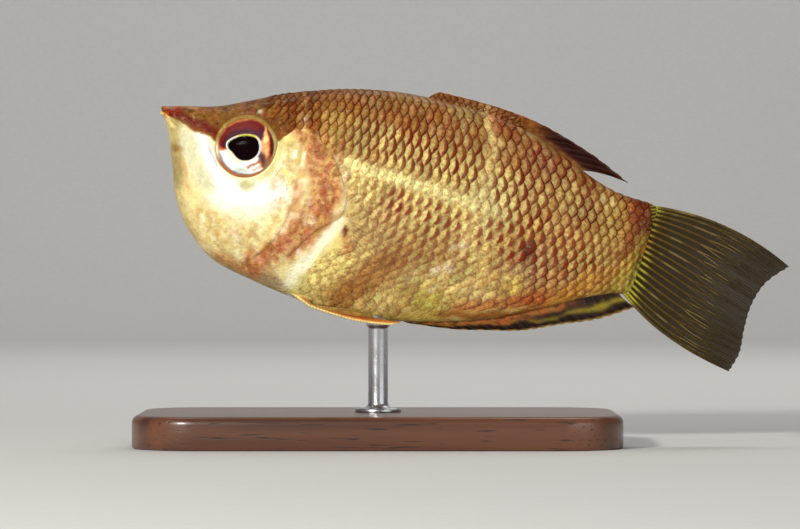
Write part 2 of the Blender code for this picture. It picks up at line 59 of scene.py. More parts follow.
# %% Places in the fish, the room and the picture
MM = 0.001
NOSE_UP = math.radians(16.25)
SNOUT_X, SNOUT_Z = -19.6, 30.6
PICTURE_MM = 0.09124
PICTURE_X, PICTURE_Y = 378.0, 444.8
COS_UP, SIN_UP = math.cos(NOSE_UP), math.sin(NOSE_UP)


def in_room(fish):
    """Turns places (..., 3) in the fish's frame into places over the stand, still in mm."""
    u, v, w = fish[..., 0], fish[..., 1], fish[..., 2]
    return np.stack([SNOUT_X + u * COS_UP + v * SIN_UP, w, SNOUT_Z - u * SIN_UP + v * COS_UP], axis=-1)


def in_picture(fish):
    """Where a place of the fish shows in the side view, as x and y in the picture's frame."""
    room = in_room(fish)
    return PICTURE_X + room[..., 0] / PICTURE_MM, PICTURE_Y - room[..., 2] / PICTURE_MM


def from_picture(x, y):
    """The fish's u and v at a place in the picture's frame."""
    across, up = (x - PICTURE_X) * PICTURE_MM - SNOUT_X, (PICTURE_Y - y) * PICTURE_MM - SNOUT_Z
    return across * COS_UP - up * SIN_UP, across * SIN_UP + up * COS_UP


print("snout tip shows at", [round(float(n), 1) for n in in_picture(np.zeros(3))])

# %% [markdown]
# ## Small tools for curves and soft masks
# A fish is a stack of smooth sections, and its markings are soft-edged. Both need the same three tools: a
# smooth reading of a short table, an eased step, and the distance to a line. Written on whole arrays, they
# shape a hundred thousand vertices in a moment.

# %% Curves and soft steps
def read_smooth(rows, at):
    """Reads a table between its rows, on a Catmull-Rom curve; `at` runs from 0 to 1 over the table."""
    rows = np.asarray(rows, float)
    last = len(rows) - 1
    at = np.clip(np.asarray(at, float), 0, 1) * last
    row = np.minimum(at.astype(int), last - 1)
    t = (at - row)[..., None]
    a, b, c, d = (rows[np.clip(row + step, 0, last)] for step in (-1, 0, 1, 2))
    return b + 0.5 * t * (c - a + t * (2 * a - 5 * b + 4 * c - d + t * (3 * (b - c) + d - a)))


def ease(low, high, value):
    """0 up to `low`, 1 from `high` on, and a smooth step between; low may be the larger one."""
    t = np.clip((value - low) / (high - low), 0, 1)
    return t * t * (3 - 2 * t)


def hump(distance, width):
    return np.exp(-(distance / width) ** 2)


def unit(vectors):
    """Vectors made 1 long."""
    return vectors / np.maximum(np.linalg.norm(vectors, axis=-1, keepdims=True), 1e-9)


def near_line(x, y, line):
    """Distance to a line, its side (+ to the right of its course) and the share along it."""
    line = np.asarray(line, float)
    best = np.full(np.shape(x), 1e9)
    side, share = np.zeros(np.shape(x)), np.zeros(np.shape(x))
    for step, (start, end) in enumerate(zip(line[:-1], line[1:])):
        along = end[:2] - start[:2]
        t = np.clip(((x - start[0]) * along[0] + (y - start[1]) * along[1]) / (along @ along), 0, 1)
        off_x, off_y = x - start[0] - along[0] * t, y - start[1] - along[1] * t
        distance = np.hypot(off_x, off_y)
        closer = distance < best
        best = np.where(closer, distance, best)
        side = np.where(closer, np.sign(along[1] * off_x - along[0] * off_y), side)
        share = np.where(closer, (step + t) / (len(line) - 1), share)
    return best, side, share


def cloud(x, y, size, seed):
    """Smooth random hills from -1 to 1, of about `size`."""
    x, y = x / size + 17.3 * seed, y / size - 9.1 * seed
    x0, y0 = np.floor(x), np.floor(y)
    fx, fy = x - x0, y - y0
    fx, fy = fx * fx * (3 - 2 * fx), fy * fy * (3 - 2 * fy)

    def corner(i, j):
        h = np.sin(i * 127.1 + j * 311.7 + seed * 74.7) * 43758.5453
        return 2 * (h - np.floor(h)) - 1

    low = corner(x0, y0) * (1 - fx) + corner(x0 + 1, y0) * fx
    high = corner(x0, y0 + 1) * (1 - fx) + corner(x0 + 1, y0 + 1) * fx
    return low * (1 - fy) + high * fy


LINE_STEPS = 6


def smooth_line(line):
    """A short list of places made into a finer, rounded line."""
    return read_smooth(line, np.linspace(0, 1, (len(line) - 1) * LINE_STEPS + 1))


# %% [markdown]
# ## The body's form
# The flesh of this fish is one closed form: slanting oval sections from the snout to the root of the tail.
# Nearly the same table of sections is behind the part's solids. Here it has far more rings and points, a
# slightly lower belly line, and a thin sheath at the end over the roots of the tail's rays. A grid of rings
# was chosen over a remeshed sculpture because it keeps a clean unwrap and takes fine forms as functions.

# %% Sections of the body
SECTIONS = (  # back u, back v, belly u, belly v, half-width, widest, fullness above and below
    (-0.04, 0.25, 0.14, -0.56, 0.60, 0.50, 2.0, 2.0), (1.40, 0.74, 0.95, -1.75, 1.15, 0.45, 2.3, 2.2),
    (4.60, 1.64, 2.15, -4.45, 2.15, 0.52, 2.6, 2.3), (7.20, 2.90, 3.30, -7.25, 3.05, 0.56, 2.9, 2.4),
    (9.90, 4.30, 5.10, -9.70, 3.80, 0.57, 2.7, 2.4), (12.8, 5.55, 8.10, -11.85, 4.35, 0.55, 2.4, 2.3),
    (16.4, 6.75, 12.6, -12.75, 4.60, 0.51, 2.2, 2.1), (20.3, 7.60, 17.8, -13.35, 4.50, 0.50, 2.0, 1.9),
    (24.6, 7.95, 23.4, -13.08, 4.15, 0.48, 1.9, 1.8), (29.0, 7.95, 28.8, -11.85, 3.55, 0.46, 1.9, 1.8),
    (33.5, 7.25, 34.0, -10.05, 2.80, 0.45, 1.9, 1.8), (37.9, 5.55, 38.5, -7.70, 2.05, 0.45, 1.9, 1.9),
    (41.6, 4.40, 41.8, -5.75, 1.50, 0.46, 1.9, 1.9), (45.0, 4.25, 44.5, -4.60, 1.00, 0.48, 1.9, 1.9),
    (45.9, 4.05, 45.3, -4.62, 0.34, 0.48, 1.9, 1.9),
)
STATIONS = (22, 34, 30, 30, 30, 30, 24, 18, 14, 14, 14, 12, 12, 8)  # rings between two sections
AROUND = 304  # points on each ring
NOSE = (-0.14, -0.14)  # u and v of the tip
CAP_RINGS, TAIL_CAP = 7, 0.25
HEAD_FORMS = (  # u, v, reach along, reach up, height
    (8.4, -1.2, 3.4, 3.4, 0.30), (4.6, -0.6, 1.8, 1.0, -0.15), (9.0, -6.2, 3.4, 2.2, 0.22),
    (6.2, -9.6, 3.0, 2.2, 0.25),
)


def section_rings(at):
    """Rings of the body (stations, AROUND, 3), from the back down the right flank and up the left one."""
    table = read_smooth(SECTIONS, at)
    back_u, back_v, belly_u, belly_v, half, widest, above, below = (table[:, k, None] for k in range(8))
    turn = math.tau * np.arange(AROUND)[None, :] / AROUND
    down = 0.5 - 0.5 * np.cos(turn)
    over = np.clip((widest - down) / widest, 0, 1) ** above
    under = np.clip((down - widest) / (1 - widest), 0, 1) ** below
    width = half * np.sqrt(np.clip(1 - np.where(down < widest, over, under), 0, 1))
    u = back_u + (belly_u - back_u) * down
    v = back_v + (belly_v - back_v) * down
    lift = 0.0
    for at_u, at_v, along, up, height in HEAD_FORMS:
        lift = lift + height * np.exp(-(((u - at_u) / along) ** 2) - ((v - at_v) / up) ** 2)
    side = np.sin(turn)
    side[:, [0, AROUND // 2]] = 0.0
    return np.stack([u, v, np.sign(side) * (width + lift * np.abs(side))], axis=-1)


def body_rings():
    gaps = len(SECTIONS) - 1
    shares = [(gap + np.arange(count) / count) / gaps for gap, count in enumerate(STATIONS)]
    at = np.concatenate(shares + [[1.0]])
    rings = section_rings(at)
    nose = np.array([*NOSE, 0.0])
    tail = rings[-1].mean(0) + np.array([TAIL_CAP, 0.0, 0.0])
    front, rear = [], []
    for step in range(1, CAP_RINGS):
        bend = math.radians(90 * step / CAP_RINGS)
        for end, tip, ring in ((front, nose, rings[0]), (rear, tail, rings[-1])):
            out = (ring - tip) * math.cos(bend)
            out[:, 0] = (ring[:, 0] - tip[0]) * (1 - math.sin(bend))
            end.append(tip + out)
    return np.concatenate([np.array(front[::-1]), rings, np.array(rear)]), nose, tail


rings, nose_tip, tail_tip = body_rings()
plain_rings = rings.copy()
print("skin grid:", rings.shape[0], "rings of", rings.shape[1], "points")

# %% [markdown]
# ## Sculpting the skin
# On the living fish the skin carries the lips round a small mouth, two pairs of nostrils, a round socket with
# a fleshy rim, the free rear edge of the gill cover, the softer edge of the bone in front of it, and faint
# folds under the swollen throat. Each of these is a short function that moves the skin along its own normal.
# Near the sharp edges the grid is first drawn together, so that a few rows of points carry the whole step.

# %% Where the forms of the head lie
GILL_EDGE = (
    (10.9, 6.6), (13.0, 3.7), (14.7, 1.3), (16.3, -0.1), (17.6, -1.7), (18.4, -3.3), (18.3, -4.9),
    (16.7, -6.6), (15.4, -8.5), (14.4, -10.4), (13.0, -14.2),
)
CHEEK_EDGE = (
    (12.6, 1.9), (13.2, 0.6), (13.6, -1.4), (13.9, -3.6), (13.9, -5.9), (13.4, -8.3), (12.3, -10.2),
    (10.6, -12.0),
)
MOUTH_CENTRE_U, MOUTH_SWEEP = 1.60, math.radians(104)
MOUTH_TIP_V, MOUTH_CORNER_V = -0.12, -0.86
NOSTRILS = ((3.9, 0.42, 0.12), (5.25, 0.10, 0.15))  # u, v, radius
EYE = (8.38, -1.22)
EYE_RIM, EYE_SUNK, EYE_NEAR, EYE_REACH, EYE_FORWARD = 2.85, 0.46, 2.5, 4.5, math.radians(12)
FOLDS = (  # places in the picture, width and depth in mm
    (((202, 139), (207, 147), (209, 157), (216, 169), (228, 181)), 0.16, 0.07),
    (((182, 123), (187, 130), (191, 140), (192, 150)), 0.22, 0.03),
    (((262, 272), (238, 262), (216, 247), (200, 228)), 0.22, 0.05),
    (((268, 262), (247, 250), (228, 236), (214, 220)), 0.25, 0.04),
    (((285, 132), (279, 160), (268, 181), (247, 192)), 0.30, 0.05),
)
GILL_DRAWN, RIM_DRAWN, DRAW_POWER, TRUNK_SUNK = 0.55, 0.6, 1.7, 0.05
# places in the picture and radii in mm
PORES = ((261, 114, 0.17), (236, 110, 0.10), (214, 112, 0.10), (196, 112, 0.09), (281, 101, 0.12))


def surface_normals(grid):
    along = np.gradient(grid, axis=0)
    across = np.roll(grid, -1, axis=1) - np.roll(grid, 1, axis=1)
    return unit(np.cross(across, along))


def draw_together(offset, reach):
    """Moves places within `reach` of an edge closer to it, the near ones most."""
    close = np.abs(offset) < reach
    return np.where(close, np.sign(offset) * np.abs(offset) ** DRAW_POWER / reach ** (DRAW_POWER - 1), offset)


def eye_axis(side):
    """The middle of the eye's seat and the direction that it looks out in."""
    flank = plain_rings.reshape(-1, 3)
    flank = flank[flank[:, 2] * side > 0]
    nearest = np.argmin((flank[:, 0] - EYE[0]) ** 2 + (flank[:, 1] - EYE[1]) ** 2)
    seat = np.array([EYE[0], EYE[1], side * (abs(flank[nearest, 2]) - EYE_SUNK)])
    return seat, np.array([-math.sin(EYE_FORWARD), 0, side * math.cos(EYE_FORWARD)])


def about_eye(grid, side):
    """The eye's axis, each place's height over its seat, and the spoke from the axis with its length."""
    seat, outwards = eye_axis(side)
    height = (grid - seat) @ outwards
    spoke = grid - seat - height[..., None] * outwards
    return outwards, height, spoke, np.maximum(np.linalg.norm(spoke, axis=-1), 1e-6)


def slide(grid, normal, direction, amount):
    """Slides places along the surface, `amount` as measured along `direction`."""
    along = direction - normal * np.sum(direction * normal, axis=-1, keepdims=True)
    scale = np.maximum(np.sum(along * direction, axis=-1), 0.2)
    return grid + along * (amount / scale)[..., None]


# %% Draw the grid together at the gill cover and the eyes
gill_line, cheek_line = smooth_line(GILL_EDGE), smooth_line(CHEEK_EDGE)


def edge_offset(grid, line):
    """How far behind an edge a place is (less than 0 in front of it), and the share along the edge."""
    distance, side, share = near_line(grid[..., 0], grid[..., 1], line)
    return distance * -side, share


def free_part(share):
    """1 where the gill cover's edge is free, fading out at both of its ends."""
    return ease(0.10, 0.26, share) * ease(0.97, 0.82, share)


normal = surface_normals(rings)
offset, share = edge_offset(rings, gill_line)
step_back = 1e-3
offset_u, _ = edge_offset(rings + np.array([step_back, 0, 0]), gill_line)
offset_v, _ = edge_offset(rings + np.array([0, step_back, 0]), gill_line)
gradient = np.stack([offset_u - offset, offset_v - offset, np.zeros_like(offset)], -1) / step_back
amount = (draw_together(offset, GILL_DRAWN) - offset) * free_part(share)
rings = slide(rings, normal, gradient, amount)

for side in (-1, 1):
    _, height, spoke, radius = about_eye(rings, side)
    here = (rings[..., 2] * side > 0) & (np.abs(height) < EYE_NEAR) & (radius < EYE_REACH)
    inside = radius - EYE_RIM
    amount = np.where(here, draw_together(inside, RIM_DRAWN) - inside, 0.0)
    rings = slide(rings, surface_normals(rings), spoke / radius[..., None], amount)

# %% Sculpt the head
def sculpted_lift(grid):
    """How far the skin moves out along its normal, in mm."""
    u, v, w = grid[..., 0], grid[..., 1], grid[..., 2]
    x, y = in_picture(grid)
    lift = np.zeros_like(u)

    angle = np.arctan2(np.abs(w), MOUTH_CENTRE_U - u) / MOUTH_SWEEP
    apart = v - (MOUTH_TIP_V + (MOUTH_CORNER_V - MOUTH_TIP_V) * angle ** 2)
    lips = ease(1.16, 0.95, angle) * (u < 4)
    close = 1 - 0.75 * np.clip(angle, 0, 1) ** 4
    lift += lips * (0.10 * hump(apart - 0.27 * close, 0.18) + 0.11 * hump(apart + 0.25 * close, 0.15))
    lift -= ease(1.10, 0.98, angle) * (u < 4) * 0.15 * hump(apart, 0.05)
    lift -= lips * 0.02 * hump(apart - 0.62, 0.12) + lips * 0.04 * hump(apart + 0.55, 0.10)

    for at_u, at_v, radius in NOSTRILS:
        r = np.hypot(u - at_u, v - at_v)
        lift += 0.04 * hump(r - 1.35 * radius, 0.45 * radius) - 0.22 * ease(1.05 * radius, 0.5 * radius, r)
    for at_x, at_y, radius in PORES:
        r = np.hypot(x - at_x, y - at_y) * PICTURE_MM
        lift += 0.03 * hump(r - 1.3 * radius, 0.5 * radius) - 0.07 * hump(r, 0.7 * radius)
    for line, width, depth in FOLDS:
        distance, _, share = near_line(x, y, smooth_line(line))
        fade = ease(0.0, 0.25, share) * ease(1.0, 0.75, share)
        off = distance * PICTURE_MM
        lift -= depth * fade * (hump(off, width) - 0.6 * hump(off - 2 * width, width))

    offset, share = edge_offset(grid, cheek_line)
    soft = ease(0.0, 0.15, share) * ease(1.0, 0.85, share)
    lift += soft * (0.10 * hump(offset + 0.35, 0.35) - 0.13 * hump(offset, 0.10))
    lift += soft * 0.05 * hump(offset - 0.5, 0.5)

    offset, share = edge_offset(grid, gill_line)
    cover = ease(-4.5, -0.3, offset) * ease(0.03, -0.03, offset)
    low = ease(0.48, 0.66, share)
    behind = 0.05 * ease(0.02, 0.06, offset) * hump(offset, 0.35)
    lift += free_part(share) * (1 - 0.5 * low) * (0.19 * cover - behind)
    return lift


lift = sculpted_lift(rings)
trunk = ease(0.0, 1.0, edge_offset(rings, gill_line)[0])
rings = rings + surface_normals(rings) * (lift - TRUNK_SUNK * trunk)[..., None]

for side in (-1, 1):
    outwards, height, _, radius = about_eye(rings, side)
    here = (rings[..., 2] * side > 0) & (height > -EYE_NEAR)
    inside = radius - EYE_RIM
    dip = -1.9 * ease(0.0, -0.10, inside) - 0.5 * ease(-0.1, -1.8, inside)
    rim = 0.10 * hump(inside - 0.16, 0.16) - 0.05 * hump(inside - 0.55, 0.2)
    rings = rings + outwards * np.where(here, dip + rim, 0.0)[..., None]
print("sculpted: lift from %.2f to %.2f mm" % (lift.min(), lift.max()))

# %% [markdown]
# ## Markings
# The fish is painted as a decorator would paint a cast: broad grounds first, then strokes and dabs on top,
# each given as a place in the side view with its own size, softness and colour. The paint is worked out for
# each vertex and stored on the mesh, so the skin, the scales and both flanks carry the same markings. An
# image would fit one view only, while strokes like these are open to correction one by one.

# %% Tools for painting
def linear(colour):
    """A colour as read off a screen, 0 to 255, as the linear values that shaders use."""
    c = np.asarray(colour, float) / 255
    return np.where(c <= 0.04045, c / 12.92, ((c + 0.055) / 1.055) ** 2.4)


def lay(base, colour, mask):
    """Lays a colour over another one, as strongly as the mask says."""
    base = np.asarray(base, float)
    return base + (np.asarray(colour, float) - base) * np.clip(mask, 0, 1)[..., None]


def stroke(x, y, line, half_width, soft):
    """A mask that is 1 along a line and fades beside it."""
    distance = near_line(x, y, smooth_line(line))[0]
    return ease(half_width + soft, half_width - soft, distance)


def dab(x, y, at_x, at_y, reach_x, reach_y, lean, soft):
    """A mask that is 1 in a leaning oval and fades round it."""
    c, s = math.cos(math.radians(lean)), math.sin(math.radians(lean))
    across, up = (x - at_x) * c + (y - at_y) * s, (y - at_y) * c - (x - at_x) * s
    return ease(1 + soft, 1 - soft, np.hypot(across / reach_x, up / reach_y))

# %% The palette
WHITE, CREAM, WARM_CREAM = (254, 253, 246), (238, 226, 160), (230, 208, 126)
TAN, BROWN, PINK_TAN = (214, 192, 112), (110, 62, 6), (202, 148, 82)
ROSE, YELLOW, GREY_TAN = (172, 82, 50), (216, 190, 92), (160, 142, 86)

# %% Marks of the body, each: shape, softness, colour, strength, and where they change, the scales' dark edges
STRIPE = (
    (300, 150), (330, 157), (350, 165), (400, 180), (440, 193), (470, 204), (505, 215), (545, 228),
    (650, 252),
)
PALE_BAND = (
    (488, 112), (490, 128), (491, 150), (486, 180), (480, 212), (468, 235), (447, 262), (438, 285),
    (431, 306),
)
HEAD_TOP = (
    (150, 112), (163, 112), (178, 120), (190, 128.5), (205, 134.5), (217, 142), (250, 140), (281, 143),
    (296, 131), (306, 126), (322, 141), (336, 158),
)
LINE_MARKS = (
    (((300, 91), (345, 88), (400, 90), (460, 98), (520, 116), (560, 141), (600, 180), (640, 201)), 5, 9,
     (116, 64, 18), .6),
    (STRIPE[1:7], 7.0, 4.5, (238, 224, 150), .95, .10),
    (STRIPE[6:], 5, 6, (205, 178, 105), .45, .5),
    (PALE_BAND, 6.5, 7, (224, 196, 126), .85, .2),
    (((574, 190), (561, 215), (545, 245), (526, 275), (514, 292)), 7, 7, (206, 176, 106), .5, .55),
    (((613, 203), (606, 225), (597, 250), (586, 276)), 5, 6, (192, 156, 86), .45, .6),
    (((338, 297), (352, 288), (372, 275), (396, 258)), 13, 10, (150, 94, 40), .8, .2),
    (((345, 309), (372, 314), (405, 317), (440, 317)), 4, 4, (204, 172, 76), .8, .1),
    (((455, 307), (480, 306), (510, 302), (542, 296)), 4.5, 4, (176, 84, 38), .6, .7),
    (((640, 203), (642, 222), (637, 242), (630, 256)), 8, 8, (88, 34, 12), .85, 1.0),
    (((646, 236), (643, 252)), 3, 3, (190, 108, 34), .8, .5),
    (((171, 160), (175, 195), (188, 228), (210, 254), (240, 274), (262, 284), (286, 297)), 5, 10, (170,
     136, 76), .75),
    (((222, 258), (246, 269), (272, 281)), 6, 7, (172, 112, 62), .8),
    (((182, 170), (198, 206), (224, 238), (254, 248)), 13, 12, (220, 202, 138), .75),
    (((174, 120), (178, 136), (177, 152), (178, 178)), 8, 7, GREY_TAN, .85),
    (((290, 142), (291, 158), (288, 176)), 7, 7, (238, 224, 134), .8),
    # The cheek is pale and silvery; the pure white painted here also stands for the lamp's bright reflection
    # on it, a painted highlight.
    (((197, 140), (204, 158), (219, 184), (246, 197), (279, 192)), 13, 9, WHITE, 1.0),
    (((187, 134), (193, 150), (201, 172), (211, 190)), 8.5, 7, (206, 202, 160), .88),
    (((206, 143), (211, 150), (213, 158), (218, 167)), 1.0, 1.4, (160, 146, 172), .75),
    (((203, 141), (208, 147), (210, 158), (215, 167)), 1.1, 1.4, WHITE, .8),
    (((185, 160), (188, 174), (190, 188)), 1.6, 2.0, (206, 150, 96), .55),
    # Near-white, as above: the cheek's own pale colour with a painted highlight on it.
    (((216, 200), (244, 214), (272, 208)), 8, 9, (252, 248, 220), .8),
    (((313, 136), (323, 162), (327, 190), (317, 217), (298, 240)), 15, 9, PINK_TAN, .9),
    (((301, 186), (294, 214), (284, 236), (266, 254), (248, 265)), 3.5, 5, ROSE, .7),
    (((303, 214), (297, 230), (288, 242), (276, 250)), 2.6, 3.4, (150, 58, 30), .8),
    (((334, 219), (325, 227), (316, 236), (306, 245)), 2.2, 3.0, (172, 128, 62), .7),
    (((322, 176), (325, 190), (326, 202)), 2.0, 3.0, (168, 84, 48), .55),
    (((312, 140), (309, 158), (303, 176), (298, 200)), 2.4, 3.4, (206, 128, 66), .65),
    (((336, 150), (344, 172), (348, 194)), 2.6, 3.0, (188, 128, 70), .5),
    (((262, 277), (284, 285), (300, 281)), 6, 5, (176, 160, 122), .85),
    (((339, 219), (329, 235), (313, 252), (300, 268), (292, 283)), 7.0, 5.0, (252, 247, 212), 1.0, .05),
    (((303, 278), (296, 290)), 5, 5, (208, 200, 112), .7, .05),
    (((345, 237), (349, 249)), 2.5, 2.5, (182, 112, 56), .85, .3),
    (((642, 238), (632, 262), (620, 281), (608, 294)), 5.5, 5, (170, 158, 60), .75, .3),
    (((640, 286), (618, 296), (596, 300)), 4, 3, (60, 30, 24), .85, .8),
    (((436, 313), (480, 316), (520, 314), (552, 309)), 3.5, 3, (150, 88, 36), .8, .4),
    (((336, 158), (341, 166), (346, 181), (347, 197), (343, 212)), 1.4, 1.2, (240, 226, 186), .85),
    (((341, 143), (344, 156), (341, 161)), 1.4, 1.5, (120, 48, 24), .7),
    (((343, 215), (330, 221), (317, 229)), 2.2, 2.4, (176, 130, 70), .75),
    (((317, 229), (304, 241), (290, 256)), 2.6, 3.0, (186, 132, 82), .6),
)
TOP_MARKS = (
    # This first stroke is a painted highlight along the top edge of the snout.
    (((166, 107.5), (180, 107.5), (196, 109)), 1.2, 1.4, (196, 136, 84), .8),
    (((168, 112), (180, 116), (195, 122.5), (208, 128.5), (220, 136)), 3.8, 2.8, (100, 24, 2), .95),
    (((276, 120), (285, 128), (291, 136)), 5, 5, (112, 62, 20), .7, .8),
    (((305, 96), (306.5, 108), (303, 118), (305.5, 130)), 1.8, 2.6, (212, 166, 112), .75, .5),
    (((163.5, 114.5), (168, 119), (175, 129)), 1.5, 1.2, (228, 204, 138), .95),
)
DAB_MARKS = (  # x, y, reach across, reach up, lean in degrees, softness, then as above
    (378, 226, 36, 20, 16, .6, (204, 168, 108), .5), (427, 252, 36, 19, 14, .6, (158, 122, 68), .6),
    (420, 296, 30, 15, 8, .6, (188, 156, 76), .7), (500, 121, 6, 12, 6, .7, (140, 66, 34), .6, 1.0),
    (512, 133, 5, 8, 0, .7, (128, 52, 28), .5, 1.0), (492, 118, 4, 10, 0, .6, (190, 92, 64), .5, .6),
    (540, 160, 26, 12, 30, .7, (176, 128, 92), .6, 1.0),
    (492, 205, 14, 26, 10, .7, (212, 200, 134), .7, .4), (560, 195, 20, 16, 0, .8, (188, 168, 104), .5),
    (585, 212, 14, 12, 0, .7, (180, 160, 96), .5), (607, 204, 12, 8, 20, .7, (206, 188, 118), .7, .5),
    (532, 262, 26, 16, -20, .8, (160, 132, 96), .6), (590, 262, 18, 14, 0, .8, (180, 158, 82), .6, .6),
    (580, 284, 22, 7, -22, .8, (204, 144, 54), .65, .3), (548, 280, 14, 8, 0, .8, (190, 120, 66), .4),
    (612, 228, 12, 18, 0, .8, (172, 146, 70), .6), (478, 196, 10, 14, 10, .7, (216, 206, 138), .6, .3),
    (428, 301, 12, 11, 0, .6, (196, 182, 82), .8, .1), (514, 285, 9, 9, 0, .5, YELLOW, .85, .2),
    (562, 298, 20, 6, -14, .9, (204, 138, 48), .7, .3), (530, 300, 16, 7, -6, .8, (186, 92, 48), .5, .5),
    (596, 286, 14, 6, -20, .8, (196, 140, 50), .5, .4), (624, 282, 12, 12, 0, .7, (180, 166, 70), .75, .3),
    (528, 252, 5, 9, 20, .6, (64, 24, 16), .8, 1.0), (513, 259, 6, 6, 0, .6, (190, 108, 54), .6, .6),
    # The six small white dabs on this and the next two lines are painted highlights: glints on single scales.
    (453, 247, 4, 3, -30, .5, WHITE, .8, .1), (463, 246, 3.5, 2.5, -20, .5, WHITE, .7, .1),
    (437, 270, 4, 3, -30, .5, WHITE, .8, .1), (449, 270, 3.5, 4, -30, .5, WHITE, .7, .1),
    (430, 289, 6, 3, -50, .5, WHITE, .7, .1), (409, 277, 4, 3, -20, .6, WHITE, .5, .1),
    (631, 205, 4, 6, 0, .6, (192, 112, 46), .6), (627, 262, 6, 12, 10, .6, (190, 164, 62), .6),
    (633, 216, 6, 8, 0, .6, (150, 72, 36), .6), (626, 240, 4, 6, 0, .6, (128, 56, 24), .5),
    (248, 187.5, 7, 4.5, 0, .7, (172, 164, 84), .6), (291, 150, 9, 8, -30, .7, (206, 188, 118), .7),
    (178, 148, 5, 4, 0, .7, (138, 92, 50), .6), (278, 251, 9, 4, -42, .5, (152, 64, 38), .75),
    (311, 203, 2.6, 7, 0, .4, WHITE, .95), (311, 219, 6, 6, 0, .35, WHITE, .85),
    (313, 219, 2.2, 2, 0, .5, (186, 160, 104), .9), (298, 250, 4, 3, 20, .5, WHITE, .9),
    (325, 189, 3, 7, 8, .5, (164, 70, 46), .6), (334, 200, 2, 6, 12, .5, (160, 84, 52), .5),
    (292, 298, 5, 3.4, 20, .4, (216, 226, 236), .95), (345.5, 231, 2.8, 5.6, 0, .35, (92, 26, 22), .97),
)
TOP_DABS = (
    (174, 112, 8, 4.5, 8, .5, (136, 34, 6), .92), (212, 117, 18, 5.5, 8, .7, (134, 90, 30), .8),
    (166, 114, 3, 3, 0, .6, (190, 120, 50), .8), (238, 111, 15, 4, -10, .7, (128, 82, 26), .55),
    # The pale dab at (261, 114) is a painted highlight on the pore there.
    (261, 114, 3, 2.3, 0, .4, (206, 216, 204), .95), (266, 116, 3, 2, 0, .6, (176, 92, 50), .6),
    (306, 121, 3, 4, 0, .6, (240, 206, 172), .75, .4), (305, 104, 3.4, 3, 0, .6, (222, 190, 126), .7, .4),
    (308, 112, 3, 2.4, 0, .6, (196, 138, 84), .6, .5), (284, 112, 14, 9, 0, .8, (136, 84, 30), .5, .9),
)


WANDER = 1.6


def wander(x, y):
    """Places nudged by small random hills, so that no mark has a ruled edge."""
    return (x + WANDER * cloud(x, y, 13, 1) + 0.5 * WANDER * cloud(x, y, 4.5, 2),
            y + WANDER * cloud(x, y, 13, 3) + 0.5 * WANDER * cloud(x, y, 4.5, 4))


def lay_marks(colour, net, x, y, lines, dabs):
    """Lays strokes, with three values for their shape, and then dabs, with six."""
    for shape, mark, size in [(stroke, mark, 3) for mark in lines] + [(dab, mark, 6) for mark in dabs]:
        paint, strength, *edges = mark[size:]
        mask = strength * shape(x, y, *mark[:size])
        colour = lay(colour, paint, mask)
        for edge in edges:
            net = net + (edge - net) * mask
    return colour, net


FRINGE = ((655, 203), (655.5, 218), (651, 240), (643, 266), (628, 293))
FRINGE_RAYS = 18


def fringe(colour, x, y):
    """Yellow-green feet of the tail's rays with dark gaps between them, just behind the last scales."""
    distance, _, share = near_line(x, y, smooth_line(FRINGE))
    rays = ease(-0.5, 0.5, np.cos(math.tau * FRINGE_RAYS * share))
    return lay(colour, lay((46, 36, 10), (156, 146, 46), rays), ease(8, 6, distance))


def mottle(colour, mask, x, y, patches):
    """Breaks up the paint inside the mask with soft patches: colour, size, stretch down, seed, strength."""
    for paint, size, stretch, seed, strength in patches:
        colour = lay(colour, paint, mask * strength * ease(-0.05, 0.55, cloud(x, y / stretch, size, seed)))
    return colour


HEAD_REAR = (
    (80, 296), (100, 300), (126, 306), (158, 336), (180, 346), (200, 348), (222, 338), (250, 313), (283, 288),
    (300, 280),
)
COVER_LINE = ((313, 134), (323, 160), (328, 190), (318, 216), (304, 236), (280, 252), (256, 262))
THROAT_LINE = ((204, 222), (228, 240), (262, 240), (286, 214), (292, 170))
TOP_PATCHES = (
    ((156, 104, 34), 7, 1, 41, .7), ((82, 40, 8), 5, 1, 42, .8), ((140, 62, 16), 4.5, 1, 43, .6),
    ((132, 108, 40), 3.6, 1, 44, .6),
)
COVER_PATCHES = (
    ((232, 208, 128), 7, 1.8, 45, .7), ((186, 98, 58), 6, 2.0, 46, .75), ((214, 178, 98), 3.4, 1.5, 47, .7),
    ((142, 76, 36), 4, 2.2, 48, .6), ((208, 142, 112), 3, 1.4, 49, .5),
)
CHEEK_PATCHES = (
    ((208, 170, 104), 5, 1.3, 50, .55), ((252, 246, 208), 6, 1.2, 51, .7),
    ((184, 134, 72), 3.2, 1.2, 52, .4),
)
REAR_PATCHES = (
    ((214, 176, 104), 6, .7, 63, .55), ((122, 58, 34), 4.5, .6, 64, .5), ((142, 132, 78), 5, .8, 65, .45),
)
FLANK_PATCHES = (
    ((212, 196, 130), 15, 1.2, 53, .35), ((150, 84, 50), 9, 1.0, 54, .28),
    ((140, 130, 76), 12, 1.3, 55, .40), ((206, 150, 104), 5, 1.0, 56, .22),
)


